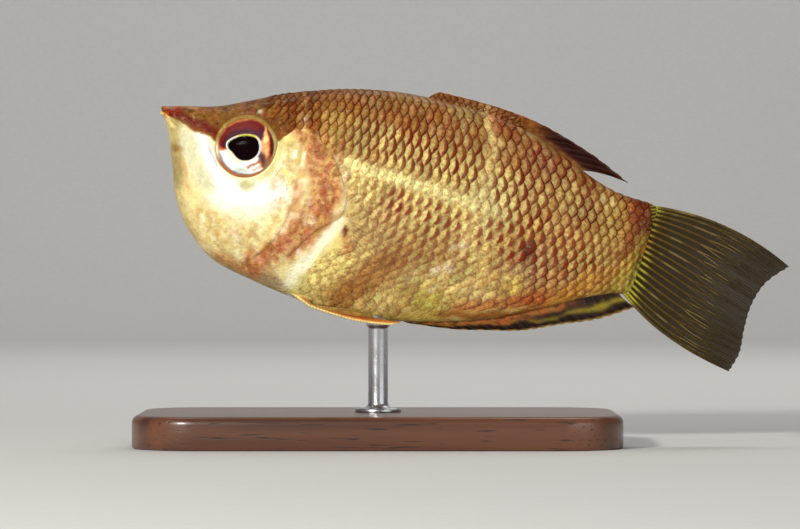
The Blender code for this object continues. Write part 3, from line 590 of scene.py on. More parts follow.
def body_paint(picture_x, picture_y):
    """Ground colour (0 to 255), and how strong the scales' dark net, rear crescents and spots are."""
    x, y = wander(picture_x, picture_y)
    from_stripe = y - np.interp(x, *zip(*STRIPE))
    below = ease(-6, 8, from_stripe)
    colour = lay(TAN, (172, 136, 66), 0.8 * ease(395, 340, x))
    colour = lay(colour, (152, 104, 46), 0.8 * ease(505, 560, x))
    colour = lay(colour, (136, 96, 28), 0.8 * ease(595, 625, x))
    colour = lay(colour, (134, 84, 32), 0.9 * ease(-34, -64, from_stripe))
    cream = lay(WARM_CREAM, (194, 148, 66), 0.9 * ease(465, 560, x))
    cream = lay(cream, (148, 112, 36), 0.85 * ease(590, 622, x))
    colour = lay(colour, cream, below)
    colour = mottle(colour, ease(340, 352, x), x, y, FLANK_PATCHES)
    low_rear = ease(470, 530, x) * ease(4, 30, from_stripe)
    colour = mottle(colour, low_rear, x, y, REAR_PATCHES)
    net = 1.0 - 0.72 * below * ease(560, 490, x) - 0.25 * below * ease(500, 600, x)
    net = net * (1 - 0.3 * hump(from_stripe + 24, 26) * ease(540, 490, x))
    net = net * (0.82 + 0.3 * cloud(x, y, 16, 57)) * (1 + 0.45 * low_rear * cloud(x, y, 7, 67))
    in_stripe = hump(from_stripe, 11) * ease(520, 470, x)
    crescent = 0.4 + 0.8 * hump(from_stripe + 26, 32) * ease(560, 500, x) + 0.3 * ease(490, 540, x)
    crescent = crescent + 0.3 * cloud(x, y, 14, 59) + 0.6 * low_rear * cloud(x, y, 6, 66)
    crescent = np.clip(crescent, 0, 1) * (1 - 0.9 * in_stripe)
    in_band = stroke(x, y, PALE_BAND, 7, 7)
    crescent = crescent * (0.45 + 0.55 * ease(330, 385, x)) * (1 - 0.7 * in_band)
    crescent = crescent * (0.35 + 0.65 * ease(625, 588, x)) * (0.3 + 0.7 * ease(292, 258, y))
    spot = below * (0.95 * ease(50, 30, from_stripe) + 0.2 + 0.35 * cloud(x, y, 20, 58))
    spot = np.clip(spot * ease(310, 292, y) * ease(345, 400, x), 0, 1) * (1 - in_stripe) * (1 - 0.6 * in_band)
    spot = spot * (1 - 0.35 * ease(510, 560, x))
    net = net * (1 - 0.8 * in_stripe)
    head = ease(2.5, -2.5, x - np.interp(y, *zip(*HEAD_REAR)))
    colour = lay(colour, CREAM, head * ease(96, 128, y))
    colour, net = lay_marks(fringe(colour, x, y), net, x, y, LINE_MARKS, DAB_MARKS)
    cover = stroke(x, y, COVER_LINE, 13, 8)
    colour = mottle(colour, cover, x, y, COVER_PATCHES)
    throat = stroke(x, y, THROAT_LINE, 18, 12)
    colour = mottle(colour, 0.8 * throat, x, y, CHEEK_PATCHES)
    top = ease(1.8, -1.8, y - np.interp(x, *zip(*HEAD_TOP))) * ease(344, 336, x) * ease(330, 308, x)
    colour = mottle(lay(colour, BROWN, 0.92 * top), top, x, y, TOP_PATCHES)
    net = net + (0.9 - net) * top
    topped, net_top = lay_marks(colour, net, x, y, TOP_MARKS, TOP_DABS)
    colour = lay(colour, topped, np.maximum(top, ease(200, 170, x) * ease(135, 125, y)))
    net = net + (net_top - net) * top
    return colour, net, crescent, spot


sample = body_paint(np.array([245.0, 440.0, 205.0]), np.array([200.0, 150.0, 128.0]))[0]
print("cheek, flank and stripe are painted", sample.round().tolist())

# %% [markdown]
# ## Turning the sculpture into one skin
# The skin takes the place of five solids at once, so that no seam shows where they part. Its unwrap follows
# its own shape: along the body in one direction and round it in the other. The scales will later take their
# places on that same unwrap. A cut-up unwrap would have seams on the flank, where the eye goes first.

# %% Make the skin
BAKE_MARGIN, POLE_MARGIN, MOUTH_GROOVE = 0.02, 0.6, 0.12


def place_object(name, data):
    """Puts a mesh, a lamp or a camera into the scene, at the origin."""
    thing = bpy.data.objects.new(name, data)
    bpy.context.scene.collection.objects.link(thing)
    return thing


def make_mesh(name, fish_places, faces):
    """Makes an object at the origin from places in the fish's frame."""
    mesh = bpy.data.meshes.new(name)
    mesh.from_pydata((in_room(np.asarray(fish_places, float)) * MM).tolist(), [], faces)
    mesh.polygons.foreach_set("use_smooth", [True] * len(mesh.polygons))
    return place_object(name, mesh)


def store(mesh, name, values):
    """Keeps a number or a colour for each vertex."""
    values = np.asarray(values, np.float32)
    if values.ndim == 1:
        mesh.attributes.new(name, "FLOAT", "POINT").data.foreach_set("value", values)
    else:
        rgba = np.concatenate([values, np.ones((len(values), 1), np.float32)], axis=1)
        mesh.attributes.new(name, "FLOAT_COLOR", "POINT").data.foreach_set("color", rgba.ravel())


def map_corners(mesh, name, places):
    """A UV map from a place for each corner of each face."""
    mesh.uv_layers.new(name=name).data.foreach_set("uv", np.asarray(places, np.float32).ravel())


def ring_faces(rows, count, first=0):
    """Four-sided faces between rings of `count` places, which start at the place `first`."""
    starts = [(first + row * count, step) for row in range(rows - 1) for step in range(count)]
    return [(at + step, at + (step + 1) % count, at + (step + 1) % count + count, at + step + count)
            for at, step in starts]


def close_ends(rows, count):
    """Fans of triangles that close the ends; their middles are the two places after the rings."""
    nose, tail, last = rows * count, rows * count + 1, (rows - 1) * count
    faces = []
    for step in range(count):
        across = (step + 1) % count
        faces += [(nose, across, step), (tail, last + step, last + across)]
    return faces


def run_along(path):
    """How far along a path each of its places lies."""
    return np.concatenate([[0], np.cumsum(np.linalg.norm(np.diff(path, axis=0), axis=1))])


row_count = rings.shape[0]
mouth_end = [nose_tip[0] + MOUTH_GROOVE, nose_tip[1], 0.0]
skin_places = np.concatenate([rings.reshape(-1, 3), [mouth_end], [tail_tip]])
skin_shell = ring_faces(row_count, AROUND) + close_ends(row_count, AROUND)
skin = make_mesh("skin", skin_places, skin_shell)
skin_x, skin_y = in_picture(skin_places)
store(skin.data, "ground", linear(body_paint(skin_x, skin_y)[0]))

along_skin = run_along(rings.mean(1))
along_skin = BAKE_MARGIN + (1 - 2 * BAKE_MARGIN) * along_skin / along_skin[-1]
corner_verts = np.array([v for face in skin.data.polygons for v in face.vertices])
face_of_corner = np.repeat(np.arange(len(skin.data.polygons)), [len(f.vertices) for f in skin.data.polygons])
row_of = np.minimum(corner_verts // AROUND, row_count - 1)
column_of = corner_verts % AROUND
four_sided = (row_count - 1) * AROUND
cap = face_of_corner >= four_sided
last_column = ~cap & (face_of_corner % AROUND == AROUND - 1) & (column_of == 0)
unwrap = np.stack([along_skin[row_of], (column_of + AROUND * last_column) / AROUND], axis=1)
cap_step = (face_of_corner - four_sided) // 2 + 0.5
poles = corner_verts >= row_count * AROUND
pole_margin = BAKE_MARGIN * POLE_MARGIN
unwrap[poles, 0] = np.where(corner_verts[poles] == row_count * AROUND, pole_margin, 1 - pole_margin)
unwrap[poles, 1] = cap_step[poles] / AROUND
late = cap & ~poles & (column_of == 0) & (cap_step > AROUND / 2)
unwrap[late, 1] = 1.0
unwrap[:, 1] = BAKE_MARGIN + (1 - 2 * BAKE_MARGIN) * unwrap[:, 1]
map_corners(skin.data, "OFBake", unwrap)
print("skin:", len(skin.data.polygons), "faces")

# %% [markdown]
# ## Moist skin
# A wet fish is coloured under a thin clear layer, so its finish is a painted ground, small uneven clouds in
# it, fine pores, and a clear coat that catches the lamp. The clouds and the pores are shared by the skin, the
# scales and the fins, so each is a node group. They lie in object coordinates, which turn with the model.

# %% Shared shader effects
SOCKETS = {"number": "NodeSocketFloat", "colour": "NodeSocketColor", "whole number": "NodeSocketInt",
           "mesh": "NodeSocketGeometry", "object": "NodeSocketObject", "finish": "NodeSocketMaterial"}
NOISE_LOW, NOISE_HIGH = 0.3, 0.7  # nearly all of a noise lies between these


def plug(tree, socket, value):
    """Gives a socket the outcome of another node or a plain value."""
    if isinstance(value, bpy.types.NodeSocket):
        tree.links.new(value, socket)
    else:
        socket.default_value = value


def add_node(tree, kind, inputs, **settings):
    """Adds a node; its inputs are given as values or as the outputs of other nodes."""
    node = tree.nodes.new(kind)
    for name, value in settings.items():
        setattr(node, name, value)
    for name, value in inputs.items():
        plug(tree, node.inputs[name], value)
    return node


def add(tree, kind, inputs=None, **settings):
    return add_node(tree, "ShaderNode" + kind, inputs or {}, **settings)


def new_group(name, inputs, outputs, kind="ShaderNodeTree"):
    """A shared group of nodes, with its own inputs and outputs."""
    tree = bpy.data.node_groups.new(name, kind)
    for label, sort, *value in inputs:
        socket = tree.interface.new_socket(name=label, in_out="INPUT", socket_type=SOCKETS[sort])
        for start in value:
            socket.default_value = start
    for label, sort in outputs:
        tree.interface.new_socket(name=label, in_out="OUTPUT", socket_type=SOCKETS[sort])
    return tree, tree.nodes.new("NodeGroupInput").outputs, tree.nodes.new("NodeGroupOutput").inputs


def use(tree, group, **inputs):
    """Puts a shared effect to work in a tree and gives its outcome."""
    return add_node(tree, "ShaderNodeGroup", inputs, node_tree=group).outputs[0]


def maths(tree, operation, *values):
    return add(tree, "Math", dict(enumerate(values)), operation=operation).outputs[0]


def times(tree, one, other):
    return maths(tree, "MULTIPLY", one, other)


def shade(tree, colour, level):
    """A colour made darker below 1 and brighter above it."""
    return add(tree, "VectorMath", {0: colour, "Scale": level}, operation="SCALE").outputs[0]


def blend(tree, share, low, high, mode="MIX"):
    """Mixes two colours by a share, or multiplies them; a plain colour is given as read off a screen."""
    node = add(tree, "Mix", data_type="RGBA", blend_type=mode)
    for key, value in ((0, share), (6, low), (7, high)):
        plug(tree, node.inputs[key], (*linear(value), 1.0) if isinstance(value, tuple) else value)
    return node.outputs[2]


def between(tree, value, low, high, to_low=0.0, to_high=1.0):
    """A smooth step from one level to another."""
    node = add(tree, "MapRange", {"Value": value, "From Min": low, "From Max": high, "To Min": to_low,
                                  "To Max": to_high}, interpolation_type="SMOOTHSTEP")
    return node.outputs[0]


def solid_place(tree):
    """Object coordinates, which turn with the model."""
    return add(tree, "TexCoord").outputs["Object"]


def noise(tree, place, scale, detail, **more):
    return add(tree, "TexNoise", {"Vector": place, "Scale": scale, "Detail": detail, **more}).outputs[0]


def spread(tree, value, low, high):
    """A noise stretched out from one level to another."""
    return add(tree, "MapRange", {"Value": value, "From Min": NOISE_LOW, "From Max": NOISE_HIGH,
                                  "To Min": low, "To Max": high}).outputs[0]


def make_clouds():
    """Lets a colour vary in soft clouds."""
    tree, given, result = new_group(
        "colour_clouds", [("Colour", "colour"), ("Amount", "number", 0.12), ("Scale", "number", 1200.0)],
        [("Colour", "colour")])
    hills = noise(tree, solid_place(tree), given["Scale"], 3.0, Roughness=0.6)
    low = maths(tree, "SUBTRACT", 1.0, given["Amount"])
    high = maths(tree, "ADD", 1.0, given["Amount"])
    plug(tree, result["Colour"], shade(tree, given["Colour"], spread(tree, hills, low, high)))
    return tree


def make_grain():
    """Fine pores and unevenness, as a height."""
    tree, given, result = new_group(
        "skin_grain", [("Scale", "number", 5200.0), ("Depth", "number", 1.0)], [("Height", "number")])
    place = solid_place(tree)
    fine = noise(tree, place, given["Scale"], 2.0)
    pores = add(tree, "TexVoronoi", {"Vector": place, "Scale": given["Scale"]}).outputs["Distance"]
    plug(tree, result["Height"], times(tree, maths(tree, "ADD", fine, pores), given["Depth"]))
    return tree


def make_flecks():
    """Small dark and pale flecks, as pigment cells make them, where Share is above nothing."""
    tree, given, result = new_group(
        "pigment_flecks", [("Colour", "colour"), ("Share", "number", 0.5), ("Scale", "number", 2600.0),
                           ("Dark", "colour", (*linear((186, 134, 98)), 1.0)),
                           ("Pale", "colour", (*linear((250, 232, 178)), 1.0))], [("Colour", "colour")])
    place = solid_place(tree)
    aside = add(tree, "VectorMath", {0: place, 1: (0.3, 0.7, 0.1)}, operation="ADD").outputs[0]
    colour = given["Colour"]
    for where, paint, mode, low, high in (
            (place, "Dark", "MULTIPLY", 0.42, 0.66), (aside, "Pale", "MIX", 0.48, 1.15)):
        hills = noise(tree, where, given["Scale"], 4.0, Roughness=0.68)
        mask = times(tree, between(tree, hills, low, high), given["Share"])
        colour = blend(tree, mask, colour, given[paint], mode)
    plug(tree, result["Colour"], colour)
    return tree


CLOUDS, GRAIN, FLECKS = make_clouds(), make_grain(), make_flecks()


def new_material(name, **values):
    """A material with its tree and its shader; plain values are set on the shader's own sockets."""
    material = bpy.data.materials.new(name)
    material.use_nodes = True
    shader = material.node_tree.nodes["Principled BSDF"]
    for socket, value in values.items():
        shader.inputs[socket.replace("_", " ")].default_value = value
    return material, material.node_tree, shader


def stored(tree, name, output="Fac"):
    """A value that was kept for each vertex."""
    return add(tree, "Attribute", attribute_name=name).outputs[output]


def clouded_paint(tree, amount, scale):
    """The painted ground with clouds in it."""
    return use(tree, CLOUDS, Colour=stored(tree, "ground", "Color"), Amount=amount, Scale=scale)


def bump(tree, shader, height, distance, strength):
    node = add(tree, "Bump", {"Height": height, "Distance": distance, "Strength": strength})
    plug(tree, shader.inputs["Normal"], node.outputs["Normal"])


print("shared effects:", CLOUDS.name, GRAIN.name, FLECKS.name)

# %% The finish of the skin
def make_skin_material():
    material, tree, shader = new_material(
        "moist_skin", Roughness=0.50, Coat_Weight=0.10, Coat_Roughness=0.10, Subsurface_Weight=0.10,
        Subsurface_Scale=0.0005, Specular_IOR_Level=0.12)
    clouded = clouded_paint(tree, 0.16, 1300.0)
    flecked = use(tree, FLECKS, Colour=clouded, Share=stored(tree, "flecks"), Scale=2300.0)
    plug(tree, shader.inputs["Base Color"], flecked)
    bump(tree, shader, use(tree, GRAIN, Scale=4200.0, Depth=1.0), 0.00006, 0.7)
    return material


FLECK_STROKES = (  # line, half-width, softness, strength
    (((200, 222), (226, 240), (258, 240), (280, 222)), 16, 14, .34),
    (((212, 256), (244, 268), (276, 276)), 8, 8, .5),
    (((166, 112), (190, 114), (214, 114), (240, 106), (290, 100)), 9, 6, .62),
    (((268, 122), (288, 116), (304, 112)), 12, 8, .7),
    (((310, 134), (322, 158), (328, 188), (318, 214), (304, 232), (280, 250)), 15, 6, .75),
    (((290, 150), (288, 175), (286, 196)), 10, 10, .45),
    (((186, 124), (202, 132), (216, 141)), 5, 4, .3),
    (((173, 130), (176, 150), (178, 175), (184, 205)), 6, 7, .35),
)
flecks = np.zeros(len(skin_places))
for line, half_width, soft, strength in FLECK_STROKES:
    flecks = np.maximum(flecks, strength * stroke(skin_x, skin_y, line, half_width, soft))
store(skin.data, "flecks", flecks)
skin.data.materials.append(make_skin_material())


def turn_faces_out(thing):
    """Points every face of each closed shell outwards."""
    form = bmesh.new()
    form.from_mesh(thing.data)
    bmesh.ops.recalc_face_normals(form, faces=form.faces)
    form.to_mesh(thing.data)
    form.free()


turn_faces_out(skin)
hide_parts("head", "gill_cover_left", "gill_cover_right", "torso", "tail_stalk")
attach(skin, "root")
print("skin dressed:", len(skin.data.vertices), "vertices")

# %% [markdown]
# ## The coat of scales
# Overlapping scales cover each flank from the gill cover to the tail. Each is a thin horny plate whose front
# is sunk in the skin and whose rounded rear edge lies free over the next ones. The coat is first laid out
# flat, as a lattice: one step along for each scale, one step up for each row, odd rows moved by half a step.
# Geometry Nodes set the plates on the lattice, each a little turned and sized by chance. Numpy then bends the
# whole coat round the body, measured from the pale stripe, so that the rows follow the real lie.

# %% A chart of the flank, measured from the pale stripe
CHART_STEP, UP_REACH, DOWN_REACH = 0.1, 15.0, 19.0
RUN_OUT, OVERLAP = 8, 60


def flank_chart():
    """Places of the left flank on a grid: stations from nose to tail, and girth up from the stripe."""
    body = plain_rings[CAP_RINGS - 1:-(CAP_RINGS - 1)]
    reach = np.arange(-OVERLAP, AROUND // 2 + OVERLAP + 1)
    loop = body[:, (-reach) % AROUND]
    arc = np.array([run_along(ring) for ring in loop])
    x, y = in_picture(loop)
    above = y - np.interp(x, *zip(*STRIPE))
    girth = np.arange(-DOWN_REACH, UP_REACH + CHART_STEP / 2, CHART_STEP)
    chart, back, belly = np.empty((len(loop), len(girth), 3)), [], []
    flank = slice(OVERLAP, OVERLAP + AROUND // 2)
    for row in range(len(loop)):
        stripe_arc = np.interp(0.0, above[row, flank], arc[row, flank])
        up = stripe_arc - arc[row]
        for axis in range(3):
            chart[row, :, axis] = np.interp(girth, up[::-1], loop[row, ::-1, axis])
        back.append(up[OVERLAP])
        belly.append(up[OVERLAP + AROUND // 2])
    tail_on = chart[-1:] + np.arange(1, RUN_OUT + 1)[:, None, None] * np.array([0.22, 0.0, 0.0])
    return (np.concatenate([chart, tail_on]), np.array(back + back[-1:] * RUN_OUT),
            np.array(belly + belly[-1:] * RUN_OUT))


chart, back_girth, belly_girth = flank_chart()
chart_normal = unit(np.cross(np.gradient(chart, axis=0), np.gradient(chart, axis=1)))
middle = chart[:, int(DOWN_REACH / CHART_STEP)]
if chart_normal[len(chart) // 2, int(DOWN_REACH / CHART_STEP), 2] > 0:
    chart_normal = -chart_normal


def read_chart(table, station, girth):
    """Reads the chart between its places; works for arrays of stations and girths."""
    station = np.clip(station, 0, len(table) - 1.001)
    girth = np.clip((girth + DOWN_REACH) / CHART_STEP, 0, table.shape[1] - 1.001)
    i, j = station.astype(int), girth.astype(int)
    s, t = (station - i)[..., None], (girth - j)[..., None]
    return ((table[i, j] * (1 - t) + table[i, j + 1] * t) * (1 - s)
            + (table[i + 1, j] * (1 - t) + table[i + 1, j + 1] * t) * s)


for at_x in (300, 360, 425, 500, 560, 620):
    row = int(np.argmin(np.abs(in_picture(middle)[0] - at_x)))
    print("at x", at_x, "girth up %.1f mm, down %.1f mm" % (back_girth[row], -belly_girth[row]))

# %% Lay the lattice of scales
# millimetres back from the snout, and there the step between scales and the height of a row
PITCH = ((9, 0.70), (14, 0.80), (24, 0.86), (31, 1.00), (36, 1.02), (41, 0.86), (46.5, 0.66))
ROW_UP = ((9, 1.10), (15, 1.28), (26, 1.36), (34, 1.20), (41, 0.98), (46.5, 0.80))
ROW_DOWN = ((9, 1.10), (15, 1.22), (26, 1.25), (34, 1.12), (41, 0.92), (46.5, 0.78))
SCALE_FRONT = (  # height in the picture, and where the scales begin and end there
    (60, 262), (90, 262), (110, 270), (128, 285), (135, 303), (145, 322), (165, 338), (200, 350), (216, 354),
    (240, 354), (250, 338), (268, 316), (283, 306), (300, 300), (340, 292),
)
TAIL_LINE = (
    (150, 648), (200, 648), (215, 652), (230, 649), (245, 642), (270, 634), (285, 628), (294, 616),
    (330, 600),
)
LATTICE_SEED, LATTICE_ROWS, ROOT_CLEAR = 11, range(-13, 12), 0.30
LEAN_UP, LEAN_DOWN, LEAN_MOST = 0.018, 0.036, 10.5
stripe_run = run_along(middle)
stripe_pitch = np.interp(middle[:, 0], *zip(*PITCH))
pitch_between = 0.5 * (stripe_pitch[1:] + stripe_pitch[:-1])
steps_run = np.concatenate([[0], np.cumsum(np.diff(stripe_run) / pitch_between)])


def station_of(step):
    return np.interp(step, steps_run, np.arange(len(steps_run)))


def leaning(station, girth):
    """The columns of scales bow forward both above and below the stripe."""
    lean = -np.where(girth > 0, LEAN_UP, LEAN_DOWN) * np.minimum(girth ** 2, LEAN_MOST ** 2)
    run = np.interp(station, np.arange(len(stripe_run)), stripe_run) + lean
    return np.interp(run, stripe_run, np.arange(len(stripe_run)))


def girth_of(station, row):
    u = np.interp(station, np.arange(len(middle)), middle[:, 0])
    return row * np.where(row > 0, np.interp(u, *zip(*ROW_UP)), np.interp(u, *zip(*ROW_DOWN)))


def lattice():
    """Roots of the scales as (step along, row), the same for both flanks."""
    roots = []
    for row in LATTICE_ROWS:
        for step in range(int(steps_run[-1]) + 1):
            along = step + 0.5 * (row % 2)
            station = float(station_of(along))
            girth = float(girth_of(station, row))
            here = int(station)
            gap = float(girth_of(station, 1) if row > 0 else -girth_of(station, -1))
            if not belly_girth[here] + ROOT_CLEAR * gap < girth < back_girth[here] - ROOT_CLEAR * gap:
                continue
            leaned = leaning(np.array(station), np.array(girth))
            x, y = in_picture(read_chart(chart, leaned, np.array(girth)))
            if np.interp(y, *zip(*SCALE_FRONT)) < x < np.interp(y, *zip(*TAIL_LINE)):
                roots.append((along, row))
    return np.array(roots)


roots = lattice()
print("scales on each flank:", len(roots), "of", int(steps_run[-1]), "steps along the whole stripe")

# %% One plate and the nodes that set it
PLATE_FRONT, PLATE_REAR, PLATE_HALF = -0.44, 0.60, 0.80  # in steps of the lattice
REAR_CUT, REAR_POWER = 0.80, 1.6
PLATE_LONG, PLATE_ACROSS, PLATE_TOP, PLATE_UNDER = 4, 8, 0.010, 0.014


def rear_edge(across):
    return PLATE_REAR - REAR_CUT * abs(across) ** REAR_POWER


def make_plate():
    """A closed plate in lattice steps, with heights in mm; its own map holds place along and across."""
    top, under = [], []
    for i in range(PLATE_LONG + 1):
        for j in range(PLATE_ACROSS + 1):
            across = PLATE_HALF * (2 * j / PLATE_ACROSS - 1)
            along = PLATE_FRONT + (rear_edge(across) - PLATE_FRONT) * (i / PLATE_LONG) ** 0.85
            height = -0.035 + 0.078 * (along - PLATE_FRONT) - 0.014 * (across / PLATE_HALF) ** 2
            top.append((along, across, height + PLATE_TOP))
            if i in (0, PLATE_LONG) or j in (0, PLATE_ACROSS):
                under.append((along, across, height - PLATE_UNDER))
    form = bmesh.new()
    upper = [form.verts.new(place) for place in top]
    wide = PLATE_ACROSS + 1
    for i in range(PLATE_LONG):
        for j in range(PLATE_ACROSS):
            a = i * wide + j
            form.faces.new([upper[k] for k in (a, a + wide, a + wide + 1, a + 1)])
    edge = ([i * wide for i in range(PLATE_LONG)] + [PLATE_LONG * wide + j for j in range(PLATE_ACROSS)]
            + [i * wide + PLATE_ACROSS for i in range(PLATE_LONG, 0, -1)] + list(range(PLATE_ACROSS, 0, -1)))
    lower = {tuple(round(n, 6) for n in place[:2]): form.verts.new(place) for place in under}
    loop = [lower[tuple(round(n, 6) for n in top[k][:2])] for k in edge]
    over = [upper[k] for k in edge]
    pairs = list(zip(range(len(edge)), [*range(1, len(edge)), 0]))
    for k, after in pairs:
        form.faces.new([over[k], loop[k], loop[after], over[after]])
    form.faces.new(loop[::-1])
    for k, after in pairs:
        form.edges.get((over[k], over[after])).smooth = False
        form.edges.get((loop[k], loop[after])).smooth = False
    plate_map = form.loops.layers.uv.new("plate")
    for face in form.faces:
        face.smooth = True
        for corner in face.loops:
            corner[plate_map].uv = corner.vert.co.xy
    bmesh.ops.recalc_face_normals(form, faces=form.faces)
    mesh = bpy.data.meshes.new("plate")
    form.to_mesh(mesh)
    form.free()
    return bpy.data.objects.new("plate", mesh)


def make_coat_nodes():
    """Geometry Nodes that set a plate on each root, a little turned and sized by chance."""
    inputs = (("Roots", "mesh"), ("Plate", "object"), ("Turn", "number"), ("Size Change", "number"),
              ("Seed", "whole number"), ("Finish", "finish"))
    tree, given, result = new_group("coat_of_scales", inputs, [("Coat", "mesh")], "GeometryNodeTree")

    def chance(low, high):
        """A random number between two others; its sockets are counted past those for vectors."""
        inputs = {2: low, 3: high, "Seed": given["Seed"]}
        return add_node(tree, "FunctionNodeRandomValue", inputs, data_type="FLOAT").outputs[1]

    turn = add(tree, "CombineXYZ", {"Z": chance(times(tree, given["Turn"], -1.0), given["Turn"])}).outputs[0]
    size = chance(*(maths(tree, kind, 1.0, given["Size Change"]) for kind in ("SUBTRACT", "ADD")))
    plate = add_node(tree, "GeometryNodeObjectInfo", {"Object": given["Plate"]}).outputs["Geometry"]
    coat = add_node(tree, "GeometryNodeInstanceOnPoints", {
        "Points": given["Roots"], "Instance": plate, "Rotation": turn, "Scale": size})
    coat = add_node(tree, "GeometryNodeRealizeInstances", {0: coat.outputs[0]})
    finish = {"Geometry": coat.outputs[0], "Material": given["Finish"]}
    plug(tree, result["Coat"], add_node(tree, "GeometryNodeSetMaterial", finish).outputs[0])
    return tree


def set_plates(name, roots, turn, size_change, seed):
    """Runs the nodes on a lattice of roots; gives back the flat coat and the root of each vertex."""
    mesh = bpy.data.meshes.new(name + "_roots")
    mesh.from_pydata([(along, row, 0.0) for along, row in roots], [], [])
    carrier = place_object("carrier", mesh)
    live = carrier.modifiers.new("coat", "NODES")
    live.node_group = coat_nodes
    values = {"Plate": plate, "Turn": turn, "Size Change": size_change, "Seed": seed,
              "Finish": scale_material}
    for item in coat_nodes.interface.items_tree:
        if item.in_out == "INPUT" and item.name in values:
            live[item.identifier] = values[item.name]
    ready = carrier.evaluated_get(bpy.context.evaluated_depsgraph_get())
    coat = bpy.data.meshes.new_from_object(ready)
    carrier.modifiers.clear()
    bpy.data.objects.remove(carrier)
    return coat, np.arange(len(coat.vertices)) // (len(coat.vertices) // len(roots))


def read_all(items, name, size, kind=float):
    """Reads one property of all vertices, corners or map places into an array."""
    values = np.empty(len(items) * size, kind)
    items.foreach_get(name, values)
    return values.reshape(-1, size)


def paint_coat(coat, place, paint, count, root_of, seed, uneven, faintest):
    """Moves a coat's vertices to their places and stores their paint, with chance values for each scale."""
    coat.vertices.foreach_set("co", (in_room(place) * MM).ravel())
    for name, values in zip(("ground", "net", "crescent", "spot"), paint):
        store(coat, name, values)
    rng = np.random.default_rng(seed)
    store(coat, "tint", (1 + rng.uniform(-uneven, uneven, count))[root_of])
    store(coat, "chance", rng.uniform(faintest, 1.0, count)[root_of])


def map_patches(coat, at_root, root_of, patch):
    """Gives each scale a small patch of the unwrap, at a place given for its root."""
    vertex = read_all(coat.loops, "vertex_index", 1, int)[:, 0]
    plate_map = read_all(coat.uv_layers["plate"].data, "uv", 2)
    map_corners(coat, "OFBake", at_root[root_of[vertex]] + plate_map * patch)


coat_nodes, plate = make_coat_nodes(), make_plate()
print("a plate spans %.2f of a step and %.2f of a row" % (PLATE_REAR - PLATE_FRONT, 2 * PLATE_HALF))

# %% The finish of a scale
def make_scale_material():
    """Olive-tan horn with a painted highlight, a dark net on the free edges, dark rear crescents above, bars
    below.
    """
    material, tree, shader = new_material(
        "scales", Roughness=0.50, Coat_Weight=0.09, Coat_Roughness=0.12, Specular_IOR_Level=0.04)
    on_plate = add(tree, "SeparateXYZ", {0: add(tree, "UVMap", uv_map="plate").outputs[0]}).outputs
    along, across = on_plate["X"], maths(tree, "ABSOLUTE", on_plate["Y"])
    bend = times(tree, maths(tree, "POWER", across, REAR_POWER), REAR_CUT)
    to_edge = maths(tree, "SUBTRACT", maths(tree, "SUBTRACT", PLATE_REAR, bend), along)
    ragged = spread(tree, noise(tree, solid_place(tree), 3600.0, 2.0), -0.05, 0.05)
    reach = maths(tree, "ADD", to_edge, ragged)
    flecked = use(tree, FLECKS, Colour=clouded_paint(tree, 0.26, 1500.0), Share=0.75, Scale=3400.0)
    tint = shade(tree, flecked, stored(tree, "tint"))
    strength = stored(tree, "chance")

    def lens(middle, wide, tall, mask, low, paint):
        """Lays a colour in an oval, given by its distance from the rear edge, its reach and its height."""
        off = times(tree, maths(tree, "SUBTRACT", reach, middle), 1 / wide)
        up = times(tree, across, 1 / tall)
        inside = between(tree, maths(tree, "ADD", times(tree, off, off), times(tree, up, up)), 1.45, 0.45)
        return blend(tree, times(tree, inside, times(tree, mask, strength)), low, paint)

    # A painted highlight: each scale is made paler and bluer in an oval just behind the free edge of the
    # scale in front of it.
    bright = add(tree, "VectorMath", {0: tint, 1: (1.12, 1.26, 1.30)}, operation="MULTIPLY").outputs[0]
    lit = lens(0.64, 0.20, 0.50, 0.8, tint, bright)
    reddened = lens(0.17, 0.24, 0.64, stored(tree, "crescent"), lit, (112, 26, 12))
    barred = lens(0.28, 0.22, 0.42, stored(tree, "spot"), reddened, (120, 36, 20))
    net = times(tree, between(tree, reach, 0.22, 0.10), stored(tree, "net"))
    netted = blend(tree, net, barred, (84, 26, 10))
    plug(tree, shader.inputs["Base Color"], netted)
    ridges = times(tree, maths(tree, "SINE", times(tree, reach, 70.0)), 0.35)
    grain = use(tree, GRAIN, Scale=5200.0, Depth=0.6)
    bump(tree, shader, maths(tree, "ADD", ridges, grain), 0.00002, 0.5)
    return material


scale_material = make_scale_material()
print("the net runs along the free edge of each scale")

# %% Bend the coat round the body
PLATE_PATCH, PLATE_LIFT, LOW_RELIEF = 0.0048, 0.02, 0.45


def bend_coat(coat, root_of, mirror):
    """Turns lattice places into places on one flank, and gives back the places of the roots."""
    flat = read_all(coat.vertices, "co", 3)
    station, row = station_of(flat[:, 0]), roots[root_of, 1]
    root_station = station_of(roots[:, 0])[root_of]
    gap = np.where(row > 0, girth_of(root_station, np.array(1)), -girth_of(root_station, np.array(-1)))
    girth = girth_of(station, row) + (flat[:, 1] - row) * gap
    station = leaning(station, girth)
    place = read_chart(chart, station, girth)
    normal = read_chart(chart_normal, station, girth)
    trunk = ease(0.0, 1.0, edge_offset(place, gill_line)[0])
    x, y = in_picture(place)
    relief = 1 - LOW_RELIEF * ease(24, 48, y - np.interp(x, *zip(*STRIPE))) * ease(560, 480, x)
    place = place + normal * (flat[:, 2] * relief + PLATE_LIFT - TRUNK_SUNK * trunk)[:, None]
    straight = station_of(roots[:, 0])
    root_girth = girth_of(straight, roots[:, 1])
    root_place = read_chart(chart, leaning(straight, root_girth), root_girth)
    ground, net, crescent, spot = body_paint(*in_picture(place))
    root_ground = body_paint(*in_picture(root_place))[0][root_of]
    if mirror:
        place = place * np.array([1, 1, -1])
    paint = (linear(0.5 * ground + 0.5 * root_ground), net, crescent, spot)
    paint_coat(coat, place, paint, len(roots), root_of, LATTICE_SEED + mirror, 0.10, 0.8)
    return root_place


